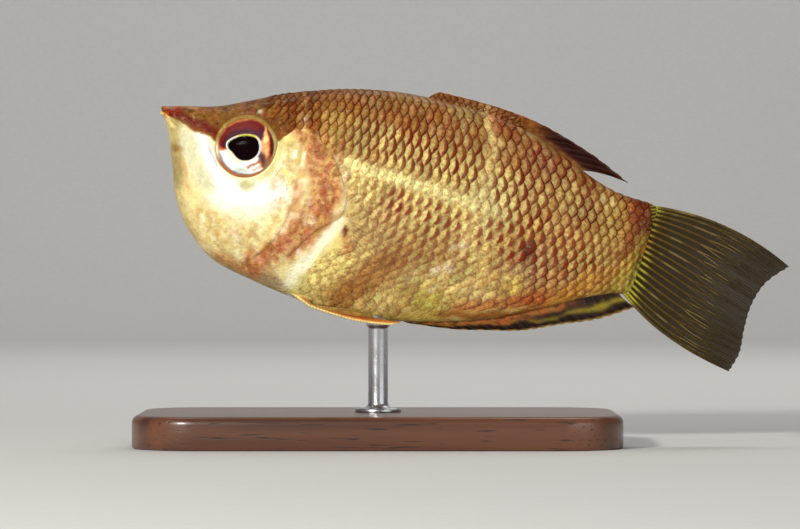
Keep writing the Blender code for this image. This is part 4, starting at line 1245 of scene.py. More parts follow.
def on_skin_map(root_place, mirror):
    """The places of the roots on the unwrap of the skin."""
    station = np.argmin(np.linalg.norm(root_place[:, None] - middle[None], axis=2), axis=1)
    along_middle = np.linspace(along_skin[CAP_RINGS], along_skin[-CAP_RINGS], len(middle))
    along = np.interp(station, np.arange(len(middle)), along_middle)
    top, bottom = back_girth[station], belly_girth[station]
    away = root_place - middle[station]
    girth = np.sum(away ** 2, axis=1) ** 0.5 * np.sign(away[:, 1])
    down = np.clip((top - girth) / (top - bottom), 0, 1)
    around = BAKE_MARGIN + (1 - 2 * BAKE_MARGIN) * (0.5 * down if mirror else 1 - 0.5 * down)
    return np.stack([along, around], axis=1)


for mirror, name in ((0, "scales_left"), (1, "scales_right")):
    coat, root_of = set_plates(name, roots, 0.05, 0.03, LATTICE_SEED + mirror)
    root_place = bend_coat(coat, root_of, mirror)
    map_patches(coat, on_skin_map(root_place, mirror), root_of, PLATE_PATCH)
    scales = place_object(name, coat)
    turn_faces_out(scales)
    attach(scales, "root")
    print(name, len(roots), "scales,", len(coat.polygons), "faces")
# %% [markdown]
# ## The eyes
# The fish's eye is a ball behind a clear window. From the rim inwards there are a fleshy ring, a silver iris
# with a dark red band over its top and a golden stripe down its rear, a thin pale ring, and a dark, slightly
# pear-shaped pupil with the lens bulging out of it. Each eye is a polar grid round the pupil, so these rings
# keep their true, uneven shapes, and a separate clear shell stands over it. The shell only mirrors, as a film
# of water does, and bends no light.

# %% Build an eyeball
EYE_TURNS = 192
EYE_CENTRE, PUPIL_CENTRE = (247.6, 148.0), (246.4, 149.2)
PUPIL_REACH = (  # every 15 degrees, from the rear down
    14.8, 14.5, 14.2, 13.7, 13.4, 13.1, 12.9, 13.0, 12.8, 12.7, 12.8, 13.9,
    16.8, 17.7, 16.0, 14.1, 13.0, 12.5, 12.4, 12.8, 13.7, 15.0, 15.4, 15.1,
)
EYE_PROFILE = (  # reach from the eye's centre in picture steps, share of the pupil's shape, height in mm
    (8, 0, -1.30), (20, 0, -1.25), (28.0, 0, -0.95), (31.6, 0, -0.45), (31.9, 0, -0.05), (31.5, 0, 0.10),
    (30.7, 0, 0.15), (29.8, 0, 0.175), (28.9, 0, 0.18), (28.2, 0, 0.17), (27.7, 0, 0.15), (27.2, 0, 0.145),
    (26.6, .01, 0.155), (26.0, .02, 0.165), (25.3, .04, 0.18), (24.6, .06, 0.20), (23.9, .09, 0.22),
    (23.1, .12, 0.235), (22.3, .16, 0.25), (21.5, .22, 0.265), (20.7, .3, 0.28), (19.9, .38, 0.29),
    (19.1, .46, 0.30), (18.3, .55, 0.305), (17.5, .66, 0.31), (16.7, .78, 0.31), (15.9, .9, 0.31),
    (1.065, 1, 0.31), (1.055, 1, 0.32), (1.03, 1, 0.322), (1.005, 1, 0.30), (0.98, 1, 0.20), (0.95, 1, 0.08),
)
FIRST_PUPIL_ROW, RIM_ROWS = 27, range(3, 11)


def eye_place(side, x, y, height):
    """A place of the eye, from where it shows in the picture and its height over the eye's seat."""
    seat, outwards = eye_axis(side)
    u, v = from_picture(x, y)
    back = (u - seat[0] - outwards[0] * height) / math.cos(EYE_FORWARD)
    rearwards = np.array([math.cos(EYE_FORWARD), 0.0, side * math.sin(EYE_FORWARD)])
    place = seat + back[..., None] * rearwards + (v - seat[1])[..., None] * np.array([0, 1.0, 0])
    return place + height[..., None] * outwards


turn = math.tau * np.arange(EYE_TURNS) / EYE_TURNS
outline = read_smooth(np.array(PUPIL_REACH + PUPIL_REACH[:1])[:, None], turn / math.tau)[..., 0]


def ring_round(centre, radius, height):
    return centre[0] + radius * np.cos(turn), centre[1] + radius * np.sin(turn), np.full(EYE_TURNS, height)


def eye_rings():
    """All places of the eyeball as x, y and height; its rings turn from round into the pupil's shape."""
    rings = []
    for index, (reach, share, height) in enumerate(EYE_PROFILE):
        centre = [EYE_CENTRE[k] + (PUPIL_CENTRE[k] - EYE_CENTRE[k]) * share for k in (0, 1)]
        uneven = outline if index >= FIRST_PUPIL_ROW else 1 + share * (outline / outline.mean() - 1)
        rings.append(ring_round(centre, reach * uneven, height))
    return [np.concatenate(values) for values in zip(*rings)]


IRIS_STROKES = (  # line, half-width, softness, colour, strength
    (((221, 156), (230, 169), (245, 175), (260, 171)), 3.4, 3.0, (214, 226, 240), .7),
    (((238, 170), (247, 171.5)), 2.2, 2.0, (176, 186, 160), .7),
    (((219.5, 150), (221.5, 158), (226, 166), (234, 173), (243, 176)), 1.7, 1.0, (120, 128, 166), .9),
    (((243, 176), (252, 176.3), (259, 174)), 1.2, 1.2, (112, 80, 92), .7),
    (((230, 152), (234.5, 158), (240, 163)), 1.6, 1.6, (236, 204, 150), .8),
    (((262, 121), (267.5, 129), (269, 140), (269.5, 152), (267, 163)), 7.0, 1.6, (218, 142, 80), .97),
    (((263.5, 128), (263.6, 136), (263.6, 150)), 1.8, 1.6, (232, 158, 118), .7),
    (((264, 126.5), (265.5, 129)), 2.2, 1.3, (250, 222, 136), .95),
    (((267, 133), (268, 135)), 1.8, 1.2, (248, 196, 120), .85),
    (((268, 139), (267, 142)), 2.2, 1.3, (252, 220, 146), .95),
    (((266, 146), (266.5, 148)), 1.5, 1.2, (244, 180, 110), .7),
    (((269, 151), (268.5, 155)), 1.8, 1.2, (250, 200, 142), .85),
    (((270, 129), (271, 138), (271.2, 150), (269.6, 160)), 1.3, 1.4, (206, 84, 40), .8),
    (((271, 130), (273.4, 139), (274, 150), (272, 162)), 2.2, 1.1, (66, 12, 16), .97),
    (((219.8, 148), (221.8, 139.5), (226.8, 131.6), (233.8, 125.8), (243, 122.4), (254, 121.4)),
     2.0, 1.2, (170, 88, 34), .95),
    (((225.0, 146), (227.4, 138.8), (233.2, 132.4), (240.4, 128.9), (249, 127.4), (256, 127.4), (261.6, 131)),
     5.2, 1.3, (104, 16, 12), 1.0),
    (((227.6, 145), (230.6, 139.8), (236, 136), (243, 134.6), (250, 134.4), (256, 134.8), (260.6, 138.4)),
     3.8, 1.6, (60, 8, 30), .92),
    (((262.4, 131), (263.6, 137)), 1.8, 1.6, (70, 16, 52), .8),
    (((219.6, 147), (222.6, 150), (226, 150.5)), 1.2, 1.6, (222, 132, 84), .7),
    (((262, 156), (264.5, 160), (266, 166)), 3.0, 2.0, (70, 38, 50), .9),
    (((249.5, 168), (256, 165.5), (262, 162)), 1.3, 1.3, (158, 82, 58), .85),
    (((254, 171), (262, 168.5)), 1.3, 1.3, (196, 150, 110), .6),
    (((268, 166), (272.5, 160)), 3.0, 2.0, (126, 96, 58), .85),
)


def paint_eye(x, y, outer, inner):
    """A silver iris with its strokes, a pale ring round the pupil (inner), and the fleshy rim (outer)."""
    colour = np.array((250, 252, 246))
    uneven_x, uneven_y = x + 0.7 * cloud(x, y, 3.0, 61), y + 0.7 * cloud(x, y, 3.0, 62)
    for line, half_width, soft, paint, strength in IRIS_STROKES:
        colour = lay(colour, paint, strength * stroke(uneven_x, uneven_y, line, half_width, soft))
    ring = lay((238, 232, 210), (206, 202, 84), ease(236, 242, x) * ease(262, 255, x) * ease(146, 138, y))
    ring = lay(ring, (196, 206, 214), 0.8 * ease(256, 260, x) * ease(140, 144, y))
    colour = lay(colour, ring, inner)
    lower = ease(150, 166, y)
    reach = np.hypot(x - EYE_CENTRE[0], y - EYE_CENTRE[1])
    rim = lay((140, 108, 44), (226, 212, 172), np.maximum(0.6 * lower, ease(228, 220, x) * ease(138, 150, y)))
    rim = lay(rim, (162, 150, 92), 0.85 * ease(268, 274, x) * ease(128, 140, y))
    rim = lay(rim, (176, 150, 84), 0.6 * ease(0.0, 0.6, cloud(x, y, 3.5, 8)) * (1 - lower))
    rim = lay(rim, (142, 82, 46), 0.9 * ease(2.6, 1.0, np.abs(reach - 29.2)) * lower)
    rim = lay(rim, (150, 68, 30), 0.6 * ease(28.4, 27.4, reach) * (1 - lower))
    return lay(colour, rim, outer)


print("pupil reaches %.1f to %.1f steps" % (outline.min(), outline.max()))

# %% Colour and set the eyes
LENS_ROWS, LENS_REACH, LENS_FOOT, LENS_BULGE, LENS_GREY = 10, 0.95, 0.08, 0.20, 20.0
WINDOW_ROWS, WINDOW_REACH, WINDOW_FOOT, WINDOW_BULGE, WINDOW_POWER = 14, 27.2, 0.20, 0.62, 0.9


def make_iris_material():
    material, tree, shader = new_material("iris", Roughness=0.5, Specular_IOR_Level=0.1)
    plug(tree, shader.inputs["Base Color"], clouded_paint(tree, 0.16, 5200.0))
    bump(tree, shader, use(tree, GRAIN, Scale=9000.0, Depth=0.7), 0.000012, 0.5)
    return material


def make_lens_material():
    material, tree, shader = new_material("dark_lens", Roughness=0.12, Specular_IOR_Level=0.003)
    depth = noise(tree, solid_place(tree), 2600.0, 2.0)
    plug(tree, shader.inputs["Base Color"], blend(tree, depth, (8, 3, 4), (20, 7, 9)))
    return material


def make_window_material():
    white = (1.0, 1.0, 1.0, 1.0)
    material, tree, shader = new_material("clear_window", Roughness=0.02, Metallic=1.0, Base_Color=white)
    plug(tree, shader.inputs["Alpha"], add(tree, "Fresnel", {"IOR": 1.05}).outputs[0])
    return material


def dome(side, centre, reach, foot, bulge, power, rows, first=0):
    """Places and faces of a dome over the eye; its faces are counted from the place `first`."""
    places = []
    for row in range(rows):
        bend = math.radians(90 * row / rows)
        ring = ring_round(centre, reach * math.cos(bend), foot + bulge * math.sin(bend) ** power)
        places += list(eye_place(side, *ring))
    faces = ring_faces(rows, EYE_TURNS, first)
    tip, last = first + len(places), first + len(places) - EYE_TURNS
    places += list(eye_place(side, *(np.array([n]) for n in (*centre, foot + bulge))))
    return places, faces + [(last + k, last + (k + 1) % EYE_TURNS, tip) for k in range(EYE_TURNS)]


def make_eye(side, name, node):
    """An eyeball with its lens: the iris is open in the middle, and a dark dome stands in the opening."""
    xs, ys, heights = eye_rings()
    outer, inner = (np.repeat([float(row in chosen) for row in range(len(EYE_PROFILE))], EYE_TURNS)
                    for chosen in (RIM_ROWS, range(FIRST_PUPIL_ROW, len(EYE_PROFILE))))
    colours = paint_eye(xs, ys, outer, inner)
    places = list(eye_place(side, xs, ys, heights))
    faces = ring_faces(len(EYE_PROFILE), EYE_TURNS) + [tuple(range(EYE_TURNS))]
    lens_places, dark = dome(side, PUPIL_CENTRE, LENS_REACH * outline, LENS_FOOT, LENS_BULGE, 1.0, LENS_ROWS,
                             len(places))
    dark += ring_faces(2, EYE_TURNS, len(places) - EYE_TURNS)
    eye = make_mesh(name, places + lens_places, faces + dark)
    colours = np.concatenate([colours, np.full((len(lens_places), 3), LENS_GREY)])
    store(eye.data, "ground", linear(colours))
    eye.data.materials.append(iris_material)
    eye.data.materials.append(lens_material)
    eye.data.polygons.foreach_set("material_index", [0] * len(faces) + [1] * len(dark))
    turn_faces_out(eye)
    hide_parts(node)
    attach(eye, "root")


def make_window(side, name):
    window = make_mesh(name, *dome(side, EYE_CENTRE, WINDOW_REACH, WINDOW_FOOT, WINDOW_BULGE, WINDOW_POWER,
                                   WINDOW_ROWS))
    window.data.materials.append(window_material)
    turn_faces_out(window)
    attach(window, "root")


iris_material, lens_material = make_iris_material(), make_lens_material()
window_material = make_window_material()
for side, word in ((-1, "left"), (1, "right")):
    make_eye(side, "eyeball_" + word, "eye_" + word)
    make_window(side, "eye_window_" + word)
print("both eyes are set")

# %% [markdown]
# ## The fins
# A fin is a double film of clear skin over bony rays. Spines are single and stiff; soft rays are jointed and
# fork on their way out. Every fin is first a smooth surface, read by the share from its first ray to its last
# and the share from root to tip. The film is a thin closed sheet on that surface, and the rays are fine
# tapered tubes that follow it, so both bend and fold together. The roots run into the flesh, as in life.

# %% Surfaces of the fins
flank_tree = BVHTree.FromPolygons(skin_places.tolist(), skin_shell)
BESIDE, BELOW = 12.0, -22.0  # well outside the body


def hits(starts, direction, axis, missed):
    """Where lines from a few places first meet the body, read on one axis."""
    found = [flank_tree.ray_cast(start, direction)[0] for start in starts]
    return np.array([hit[axis] if hit else missed for hit in found])


def flank_out(u, v):
    """Half-width of the finished body at places of its side."""
    starts = [(at_u, at_v, BESIDE) for at_u, at_v in zip(np.ravel(u), np.ravel(v))]
    return np.maximum(hits(starts, (0, 0, -1), 2, 0.0), 0.0).reshape(np.shape(u))


def belly_under(u, out):
    """Height of the belly at places along and across it."""
    starts = [(at_u, BELOW, at_w) for at_u, at_w in zip(np.ravel(u), np.ravel(out))]
    return hits(starts, (0, 1, 0), 1, -13.0).reshape(np.shape(u))


DORSAL_EDGE = (
    (23.9, 8.6), (26.6, 8.72), (29.8, 8.72), (33.0, 8.45), (36.2, 7.75), (39.5, 6.75), (42.6, 5.45),
)
ANAL_EDGE = (
    (27.2, -12.42), (31.0, -11.85), (34.1, -11.05), (37.1, -10.2), (40.2, -8.75), (43.5, -7.25), (46.4, -5.3),
)
FOLD_ARCH, FOLD_PLEAT, ROOT_SUNK = 0.1, 0.13, 0.30


def folded_fin(edge, root_start, root_end, column, up, rays):
    """Surface of a fin folded back along the body; column is the skin's column that it stands on."""
    ridge = plain_rings[CAP_RINGS:-CAP_RINGS, column]

    def surface(part, along):
        root_u = root_start + (root_end - root_start) * part
        root = np.stack([root_u, np.interp(root_u, ridge[:, 0], ridge[:, 1]) - up * ROOT_SUNK], -1)
        tip = read_smooth(edge, part)
        along = along[..., None]
        length = np.linalg.norm(tip - root, axis=-1, keepdims=True)
        arch = np.array([-FOLD_ARCH, up * FOLD_ARCH]) * length * 2 * along * (1 - along)
        place = root + (tip - root) * along + arch
        pleat = FOLD_PLEAT * np.cos(math.pi * part * (rays - 1)) * np.clip(along[..., 0] * 2.5, 0, 1)
        return np.concatenate([place, pleat[..., None]], -1)

    return surface


CAUDAL_ROOT = ((45.25, 3.95), (45.35, 0.0), (44.95, -4.25))
CAUDAL_TIPS = ((58.9, 2.2), (57.3, 0.2), (56.6, -2.1), (56.55, -4.4), (56.7, -6.6), (56.2, -8.5))
CAUDAL_START, CAUDAL_END = (8.0, -36.0), (-24.0, -8.0)
CAUDAL_PULL, CAUDAL_SWAY = 0.36, 0.9


def caudal_surface(part, along):
    """The spread tail: each ray leaves the root and reaches its tip at an angle of its own."""
    root, tip = read_smooth(CAUDAL_ROOT, part), read_smooth(CAUDAL_TIPS, part)
    length = np.linalg.norm(tip - root, axis=-1, keepdims=True) * CAUDAL_PULL
    start = np.radians(CAUDAL_START[0] + (CAUDAL_START[1] - CAUDAL_START[0]) * part)
    end = np.radians(CAUDAL_END[0] + (CAUDAL_END[1] - CAUDAL_END[0]) * part)
    leave = root + np.stack([np.cos(start), np.sin(start)], -1) * length
    arrive = tip - np.stack([np.cos(end), np.sin(end)], -1) * length
    t = along[..., None]
    place = root * (1 - t) ** 3 + leave * 3 * t * (1 - t) ** 2 + arrive * 3 * t * t * (1 - t) + tip * t ** 3
    sway = CAUDAL_SWAY * along ** 2 * np.cos(math.pi * (part - 0.25))
    sway = sway + 0.05 * along * np.sin(part * 47 + 3 * along)
    return np.concatenate([place, sway[..., None]], -1)


PECTORAL_ROOT = ((19.05, -5.15), (19.75, -7.05))
PECTORAL_TIPS = ((25.4, -5.6), (27.2, -7.2), (28.1, -8.7), (27.6, -10.0), (25.9, -10.6), (23.7, -10.2))
PECTORAL_ARCH, PECTORAL_LIFT, PECTORAL_CLEAR, PECTORAL_SUNK = 0.5, 1.3, 0.55, 0.25


def pectoral_surface(side):
    """Surface of a pectoral fin, which leans out from the flank behind the gill cover."""

    def surface(part, along):
        root = read_smooth(PECTORAL_ROOT, part)
        place = root + (read_smooth(PECTORAL_TIPS, part) - root) * along[..., None]
        place[..., 1] += PECTORAL_ARCH * along * (1 - along)
        out = flank_out(place[..., 0], place[..., 1]) - PECTORAL_SUNK
        out = out + (PECTORAL_CLEAR + PECTORAL_SUNK) * np.clip(along * 4, 0, 1) + PECTORAL_LIFT * along ** 1.4
        return np.concatenate([place, side * out[..., None]], -1)

    return surface


PELVIC_ROOT = (15.9, 17.3)
PELVIC_TIPS = ((25.6,), (26.2,), (24.9,), (23.5,), (22.2,), (21.0,))
PELVIC_HANG = ((0.06,), (0.12,), (0.32,), (0.58,), (0.82,), (1.02,))
PELVIC_OUT, PELVIC_GAP, PELVIC_SUNK = (1.05, 1.75), 0.3, 0.25


def pelvic_surface(side):
    """Surface of a pelvic fin, folded back along the belly and hanging a little below it."""

    def surface(part, along):
        root_u = PELVIC_ROOT[0] + (PELVIC_ROOT[1] - PELVIC_ROOT[0]) * part
        u = root_u + (read_smooth(PELVIC_TIPS, part)[..., 0] - root_u) * along
        out = PELVIC_OUT[0] + (PELVIC_OUT[1] - PELVIC_OUT[0]) * along
        drop = PELVIC_GAP + read_smooth(PELVIC_HANG, along)[..., 0] * (1 - part)
        drop = drop * np.clip(along * 5, 0, 1) - PELVIC_SUNK * np.clip(1 - along * 5, 0, 1)
        return np.stack([u, belly_under(u, out - 0.2) - drop, side * out], -1)

    return surface


print("fin surfaces are ready")

# %% Sheets and rays
FILM_THINS, FORK_THINS, RAY_SIDES, RAY_FLAT = 0.6, 0.80, 6, 0.8


class Pile:
    """Gathers the places, faces and per-vertex values of one fin."""

    def __init__(self):
        self.places, self.faces, self.values = [], [], []

    def put(self, places, faces, **values):
        first = sum(len(group) for group in self.places)
        self.places.append(places)
        self.faces += [tuple(first + k for k in face) for face in faces]
        self.values.append({key: np.broadcast_to(value, len(places)) for key, value in values.items()})

    def value(self, key):
        return np.concatenate([group[key] for group in self.values])


def film(pile, surface, rays, half_thick, steps, per_gap, notch):
    """A thin closed sheet between the rays, with a shallow notch between their tips."""
    across = (rays - 1) * per_gap
    part, along = np.meshgrid(np.linspace(0, 1, across + 1), np.linspace(0, 1, steps + 1), indexing="ij")
    between_rays = 0.5 - 0.5 * np.cos(math.tau * part * (rays - 1))
    reach = (1 - notch * between_rays) * along
    middle = surface(part, reach)
    normal = unit(np.cross(np.gradient(middle, axis=0), np.gradient(middle, axis=1)))
    out = normal * half_thick * (1 - FILM_THINS * along)[..., None]
    both = np.concatenate([(middle + out).reshape(-1, 3), (middle - out).reshape(-1, 3)])
    rows, columns = across + 1, steps + 1
    size = rows * columns
    faces = []
    for i in range(across):
        for j in range(steps):
            a = i * columns + j
            faces.append((a, a + 1, a + 1 + columns, a + columns))
            faces.append((size + a, size + a + columns, size + a + 1 + columns, size + a + 1))
    edge = [*range(steps), *(i * columns + steps for i in range(across))]
    edge += [across * columns + j for j in range(steps, 0, -1)] + [i * columns for i in range(across, 0, -1)]
    for k, a in enumerate(edge):
        b = edge[(k + 1) % len(edge)]
        faces.append((a, b, b + size, a + size))
    pile.put(both, faces, part=np.tile(part.ravel(), 2), along=np.tile(reach.ravel(), 2), bone=0.0,
             run=np.tile((reach * np.linalg.norm(middle[:, -1:] - middle[:, :1], axis=-1)).ravel(), 2))


def tube(pile, path, radius, part, along):
    """A closed tapering tube along a path, a little flat."""
    heading = unit(np.gradient(path, axis=0))
    out = unit(np.cross(heading, (0.0, 0.13, 1.0)))
    up = np.cross(out, heading)
    turns = math.tau * np.arange(RAY_SIDES)[None, :, None] / RAY_SIDES
    spokes = np.cos(turns) * out[:, None] + RAY_FLAT * np.sin(turns) * up[:, None]
    ring = path[:, None] + radius[:, None, None] * spokes
    last = (len(path) - 1) * RAY_SIDES
    faces = ring_faces(len(path), RAY_SIDES)
    faces += [tuple(range(RAY_SIDES)), tuple(last + k for k in range(RAY_SIDES))[::-1]]
    part, along, run = (np.repeat(values, RAY_SIDES) for values in (part, along, run_along(path)))
    pile.put(ring.reshape(-1, 3), faces, part=part, along=along, bone=1.0, run=run)


def fin_rays(pile, surface, parts, spacing, thick, steps, forks=(0.42, 0.70), opening=(), end=1.0, thin=0.2):
    """Rays that taper, and fork as often as `forks` has shares of the length."""
    for part in parts:
        paths = [(0.0, end, lambda t: 0 * t)]
        for level, fork in enumerate(forks):
            split = []
            for start, stop, offset in paths:
                if stop < end or start > fork:
                    split.append((start, stop, offset))
                    continue
                split.append((start, fork, offset))
                for side in (-1, 1):
                    split.append((fork, end, lambda t, o=offset, f=fork, s=side, w=opening[level]:
                                  o(t) + s * w * ease(f - 0.02, f + 0.22, t)))
            paths = split
        for start, stop, offset in paths:
            count = max(4, int(steps * (stop - start)))
            along = np.linspace(start, min(stop + 0.015, end), count)
            at = np.clip(part + offset(along) * spacing * 0.5, 0, 1)
            level = sum(start >= fork - 1e-6 for fork in forks)
            radius = thick * (1 - (1 - thin) * along) * FORK_THINS ** level
            tube(pile, surface(at, along), radius, at, along)


def finish_fin(name, pile, paint, material):
    """Turns a pile into one painted piece, in place of the solid that it is named after."""
    node = name.replace("_skin", "")
    places = np.concatenate(pile.places)
    fin = make_mesh(name, places, pile.faces)
    colour, solid = paint(pile.value("part"), pile.value("along"), pile.value("bone"), places)
    for key, values in (("ground", linear(colour)), ("solid", solid), ("run", pile.value("run")),
                        ("bone", pile.value("bone"))):
        store(fin.data, key, values)
    fin.data.materials.append(material)
    turn_faces_out(fin)
    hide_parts(node)
    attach(fin, "root")
    print(name, len(fin.data.polygons), "faces")


def make_fin_material(name, roughness, clouds):
    """Painted film and rays; the rays carry faint darker joints."""
    material, tree, shader = new_material(
        name, Roughness=roughness, Coat_Weight=0.08, Coat_Roughness=0.15, Specular_IOR_Level=0.14)
    clouded = clouded_paint(tree, clouds, 1500.0)
    wave = maths(tree, "SINE", times(tree, stored(tree, "run"), 21.0))
    joint = times(tree, between(tree, wave, 0.55, 0.95), stored(tree, "bone"))
    jointed = shade(tree, clouded, between(tree, joint, 0.0, 1.0, 1.0, 0.62))
    plug(tree, shader.inputs["Base Color"], jointed)
    plug(tree, shader.inputs["Alpha"], stored(tree, "solid"))
    grain = use(tree, GRAIN, Scale=4200.0, Depth=0.8)
    bump(tree, shader, maths(tree, "ADD", grain, times(tree, joint, -0.8)), 0.00002, 0.5)
    return material


folded_material = make_fin_material("folded_fin", 0.42, 0.2)
clear_material = make_fin_material("clear_fin", 0.30, 0.12)
print("fin finishes:", folded_material.name, clear_material.name)

# %% Dorsal and anal fins
def paint_dorsal(_, along, bone, places):
    """Like the back in front, with orange spine tips, and dark red-brown behind."""
    x, y = in_picture(places)
    colour = lay((124, 74, 28), (156, 108, 52), 0.6 * ease(0.0, 0.5, cloud(x, y, 4.0, 5)))
    colour = lay(colour, (84, 28, 8), 0.7 * ease(0.2, 0.6, cloud(x, y, 2.6, 6)))
    colour = lay(colour, (172, 84, 40), 0.75 * ease(0.80, 0.96, along) * ease(-0.2, 0.3, cloud(x, y, 7, 9)))
    dark = ease(528, 560, x) * ease(0.08, 0.32, along)
    colour = lay(colour, (36, 10, 6), 0.95 * dark)
    colour = lay(colour, (90, 38, 18), 0.4 * dark * bone)
    colour = lay(colour, (104, 50, 24), 0.5 * dark * ease(0.80, 0.96, along))
    return colour, np.where(bone > 0.5, 1.0, 0.97)


def paint_anal(_, along, bone, places):
    """Nearly black, with wavy gold streaks that run along the fin, and a thin gold edge."""
    x, y = in_picture(places)
    wave = along + 0.10 * cloud(x, y, 16, 21) + 0.04 * cloud(x, y, 5, 22)
    streaks = ease(-0.3, 0.3, cloud(x, np.zeros_like(x), 14, 23))
    colour = lay((30, 16, 12), (136, 122, 34), 0.75 * hump(wave - 0.55, 0.09) * streaks)
    colour = lay(colour, (150, 134, 40), 0.9 * hump(wave - 0.50, 0.16) * ease(560, 590, x))
    root = np.maximum(ease(0.42, 0.20, wave) * ease(590, 556, x), ease(0.62, 0.44, wave) * ease(560, 500, x))
    belly = lay((150, 96, 40), (86, 42, 16), 0.8 * ease(0.0, 0.5, cloud(x, y, 4, 24)))
    belly = lay(belly, (176, 84, 40), 0.6 * ease(0.1, 0.5, cloud(x, y, 6, 25)))
    colour = lay(colour, belly, 0.95 * root)
    colour = lay(colour, (206, 164, 62), 0.85 * ease(0.88, 0.97, along))
    colour = lay(colour, (112, 84, 34), 0.3 * bone)
    return colour, np.where(bone > 0.5, 1.0, 0.95)


dorsal_surface = folded_fin(DORSAL_EDGE, 22.9, 37.7, 0, 1.0, 17)
anal_surface = folded_fin(ANAL_EDGE, 26.2, 44.3, AROUND // 2, -1.0, 26)
for name, surface, spines, soft, paint in (
        ("dorsal_fin_skin", dorsal_surface, 9, 8, paint_dorsal),
        ("anal_fin_skin", anal_surface, 8, 18, paint_anal)):
    pile, rays = Pile(), spines + soft
    parts, gap = np.linspace(0, 1, rays), 1 / (rays - 1)
    film(pile, surface, rays, 0.06, 14, 6, 0.045)
    fin_rays(pile, surface, parts[:spines], gap, 0.13, 24, forks=(), thin=0.25)
    fin_rays(pile, surface, parts[spines:], gap, 0.11, 24, forks=(0.6,), opening=(0.35,), thin=0.3)
    finish_fin(name, pile, paint, folded_material)

# %% [markdown]
# ## Scales on the foot of the dorsal fin
# Small scales climb from the back onto the front of the dorsal fin, on both of its sides. They are the same
# plates, set by the same nodes on a short lattice of their own, which is then laid along the fin's surface. A
# bump could only print them on the fin, and their free edges would be missing from its outline.

# %% Scales that climb onto the foot of the dorsal fin
SHEATH_STEPS, SHEATH_ROWS, SHEATH_LAST, SHEATH_REACH, SHEATH_SEED = 17, 2, 0.62, 0.86, 31
SHEATH_CLEAR, SHEATH_FOOT, SHEATH_MARGIN = 0.15, 0.34, 0.03
SHEATH_UPRIGHT = 0.075  # share of the fin that its rays lean back by
SHEATH_ROOTS = np.array([(step + 0.5 * (row % 2), row)
                         for row in range(SHEATH_ROWS) for step in range(SHEATH_STEPS)], float)


def beside_fin(step, row, height, side):
    """A lattice place beside the fin, and the shares of the fin that it stands at."""
    fade = ease(1.0, 0.75, step / SHEATH_STEPS)
    along = np.clip(SHEATH_REACH * fade * (row + 0.35) / SHEATH_ROWS, 0, 1)
    part = SHEATH_LAST * step / SHEATH_STEPS - SHEATH_UPRIGHT * along
    place = dorsal_surface(np.clip(part, 0, 1), along)
    out = SHEATH_CLEAR + SHEATH_FOOT * ease(0.5, 0.0, along) + height
    return np.concatenate([place[..., :2], (side * out)[..., None]], -1), np.stack([part, along], -1)


def make_half_sheath(side):
    count = len(SHEATH_ROOTS)
    coat, root_of = set_plates("dorsal_sheath", SHEATH_ROOTS, 0.06, 0.04, SHEATH_SEED + side)
    place = beside_fin(*read_all(coat.vertices, "co", 3).T, side)[0]
    root_place, share = beside_fin(*SHEATH_ROOTS.T, np.zeros(count), side)
    ground, _, crescent, _ = body_paint(*in_picture(root_place))
    same = np.ones(len(root_of))
    paint = (linear(0.86 * ground)[root_of], 0.9 * same, crescent[root_of], 0 * same)
    paint_coat(coat, place, paint, count, root_of, LATTICE_SEED + count, 0.12, 0.6)
    low = SHEATH_MARGIN + np.array([0, 0.5 * (side > 0)])
    map_patches(coat, low + share * np.array([0.9, 0.4]), root_of, np.array([0.03, 0.06]))
    return place_object("dorsal_sheath", coat)


halves = [make_half_sheath(side) for side in (-1, 1)]
with bpy.context.temp_override(active_object=halves[0], selected_editable_objects=halves):
    bpy.ops.object.join()
sheath = halves[0]
turn_faces_out(sheath)
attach(sheath, "root")
print(sheath.name, len(sheath.data.polygons), "faces")

# %% Tail fin
def paint_caudal(part, along, bone, _):
    """Dark film and paler, speckled rays, with yellow-green feet."""
    colour = lay((44, 32, 7), (92, 74, 30), 0.9 * bone)
    spots = ease(0.25, 0.5, cloud(part * 42, along * 9, 1.0, 12)) * ease(0.12, 0.2, along)
    colour = lay(colour, (170, 150, 92), 0.42 * spots * bone)
    foot = 0.02 * cloud(part * 40, np.zeros_like(part), 1.0, 13) + 0.06 * ease(0.75, 0.35, part)
    fringe = ease(0.16, 0.09, along + foot)
    colour = lay(colour, (40, 32, 8), fringe * (1 - bone))
    colour = lay(colour, (158, 150, 44), fringe * bone)
    glow = hump(part - 0.42, 0.16) * ease(0.09, 0.04, along)
    colour = lay(colour, (176, 100, 34), 0.7 * fringe * bone * glow)
    solid = np.where(bone > 0.5, 0.98 - 0.13 * along, 0.90 + 0.04 * spots - 0.14 * along)
    return colour, np.clip(solid + 0.4 * ease(0.16, 0.08, along), 0, 1)


CAUDAL_RAYS = 19
pile = Pile()
film(pile, caudal_surface, CAUDAL_RAYS, 0.05, 60, 5, 0.006)
fin_rays(pile, caudal_surface, np.linspace(0, 1, CAUDAL_RAYS), 1 / (CAUDAL_RAYS - 1), 0.155, 70,
         opening=(0.62, 0.28), end=0.99)
finish_fin("caudal_fin_skin", pile, paint_caudal, clear_material)

# %% Pectoral fins
def paint_pectoral(_, along, bone, places):
    """Almost clear, with faint warm rays."""
    colour = lay((190, 158, 102), (170, 124, 76), 0.5 * bone)
    colour = lay(colour, (156, 92, 54), 0.9 * ease(0.16, 0.02, along))
    solid = np.where(bone > 0.5, 0.16 - 0.12 * along, 0.04)
    return colour, np.clip(solid + 0.35 * ease(0.10, 0.0, along), 0, 1)


PECTORAL_RAYS = 9
for side, word in ((-1, "left"), (1, "right")):
    pile, surface = Pile(), pectoral_surface(side)
    film(pile, surface, PECTORAL_RAYS, 0.04, 26, 5, 0.03)
    fin_rays(pile, surface, np.linspace(0, 1, PECTORAL_RAYS), 1 / (PECTORAL_RAYS - 1), 0.07, 34,
             opening=(0.5, 0.25))
    finish_fin("pectoral_fin_skin_" + word, pile, paint_pectoral, clear_material)

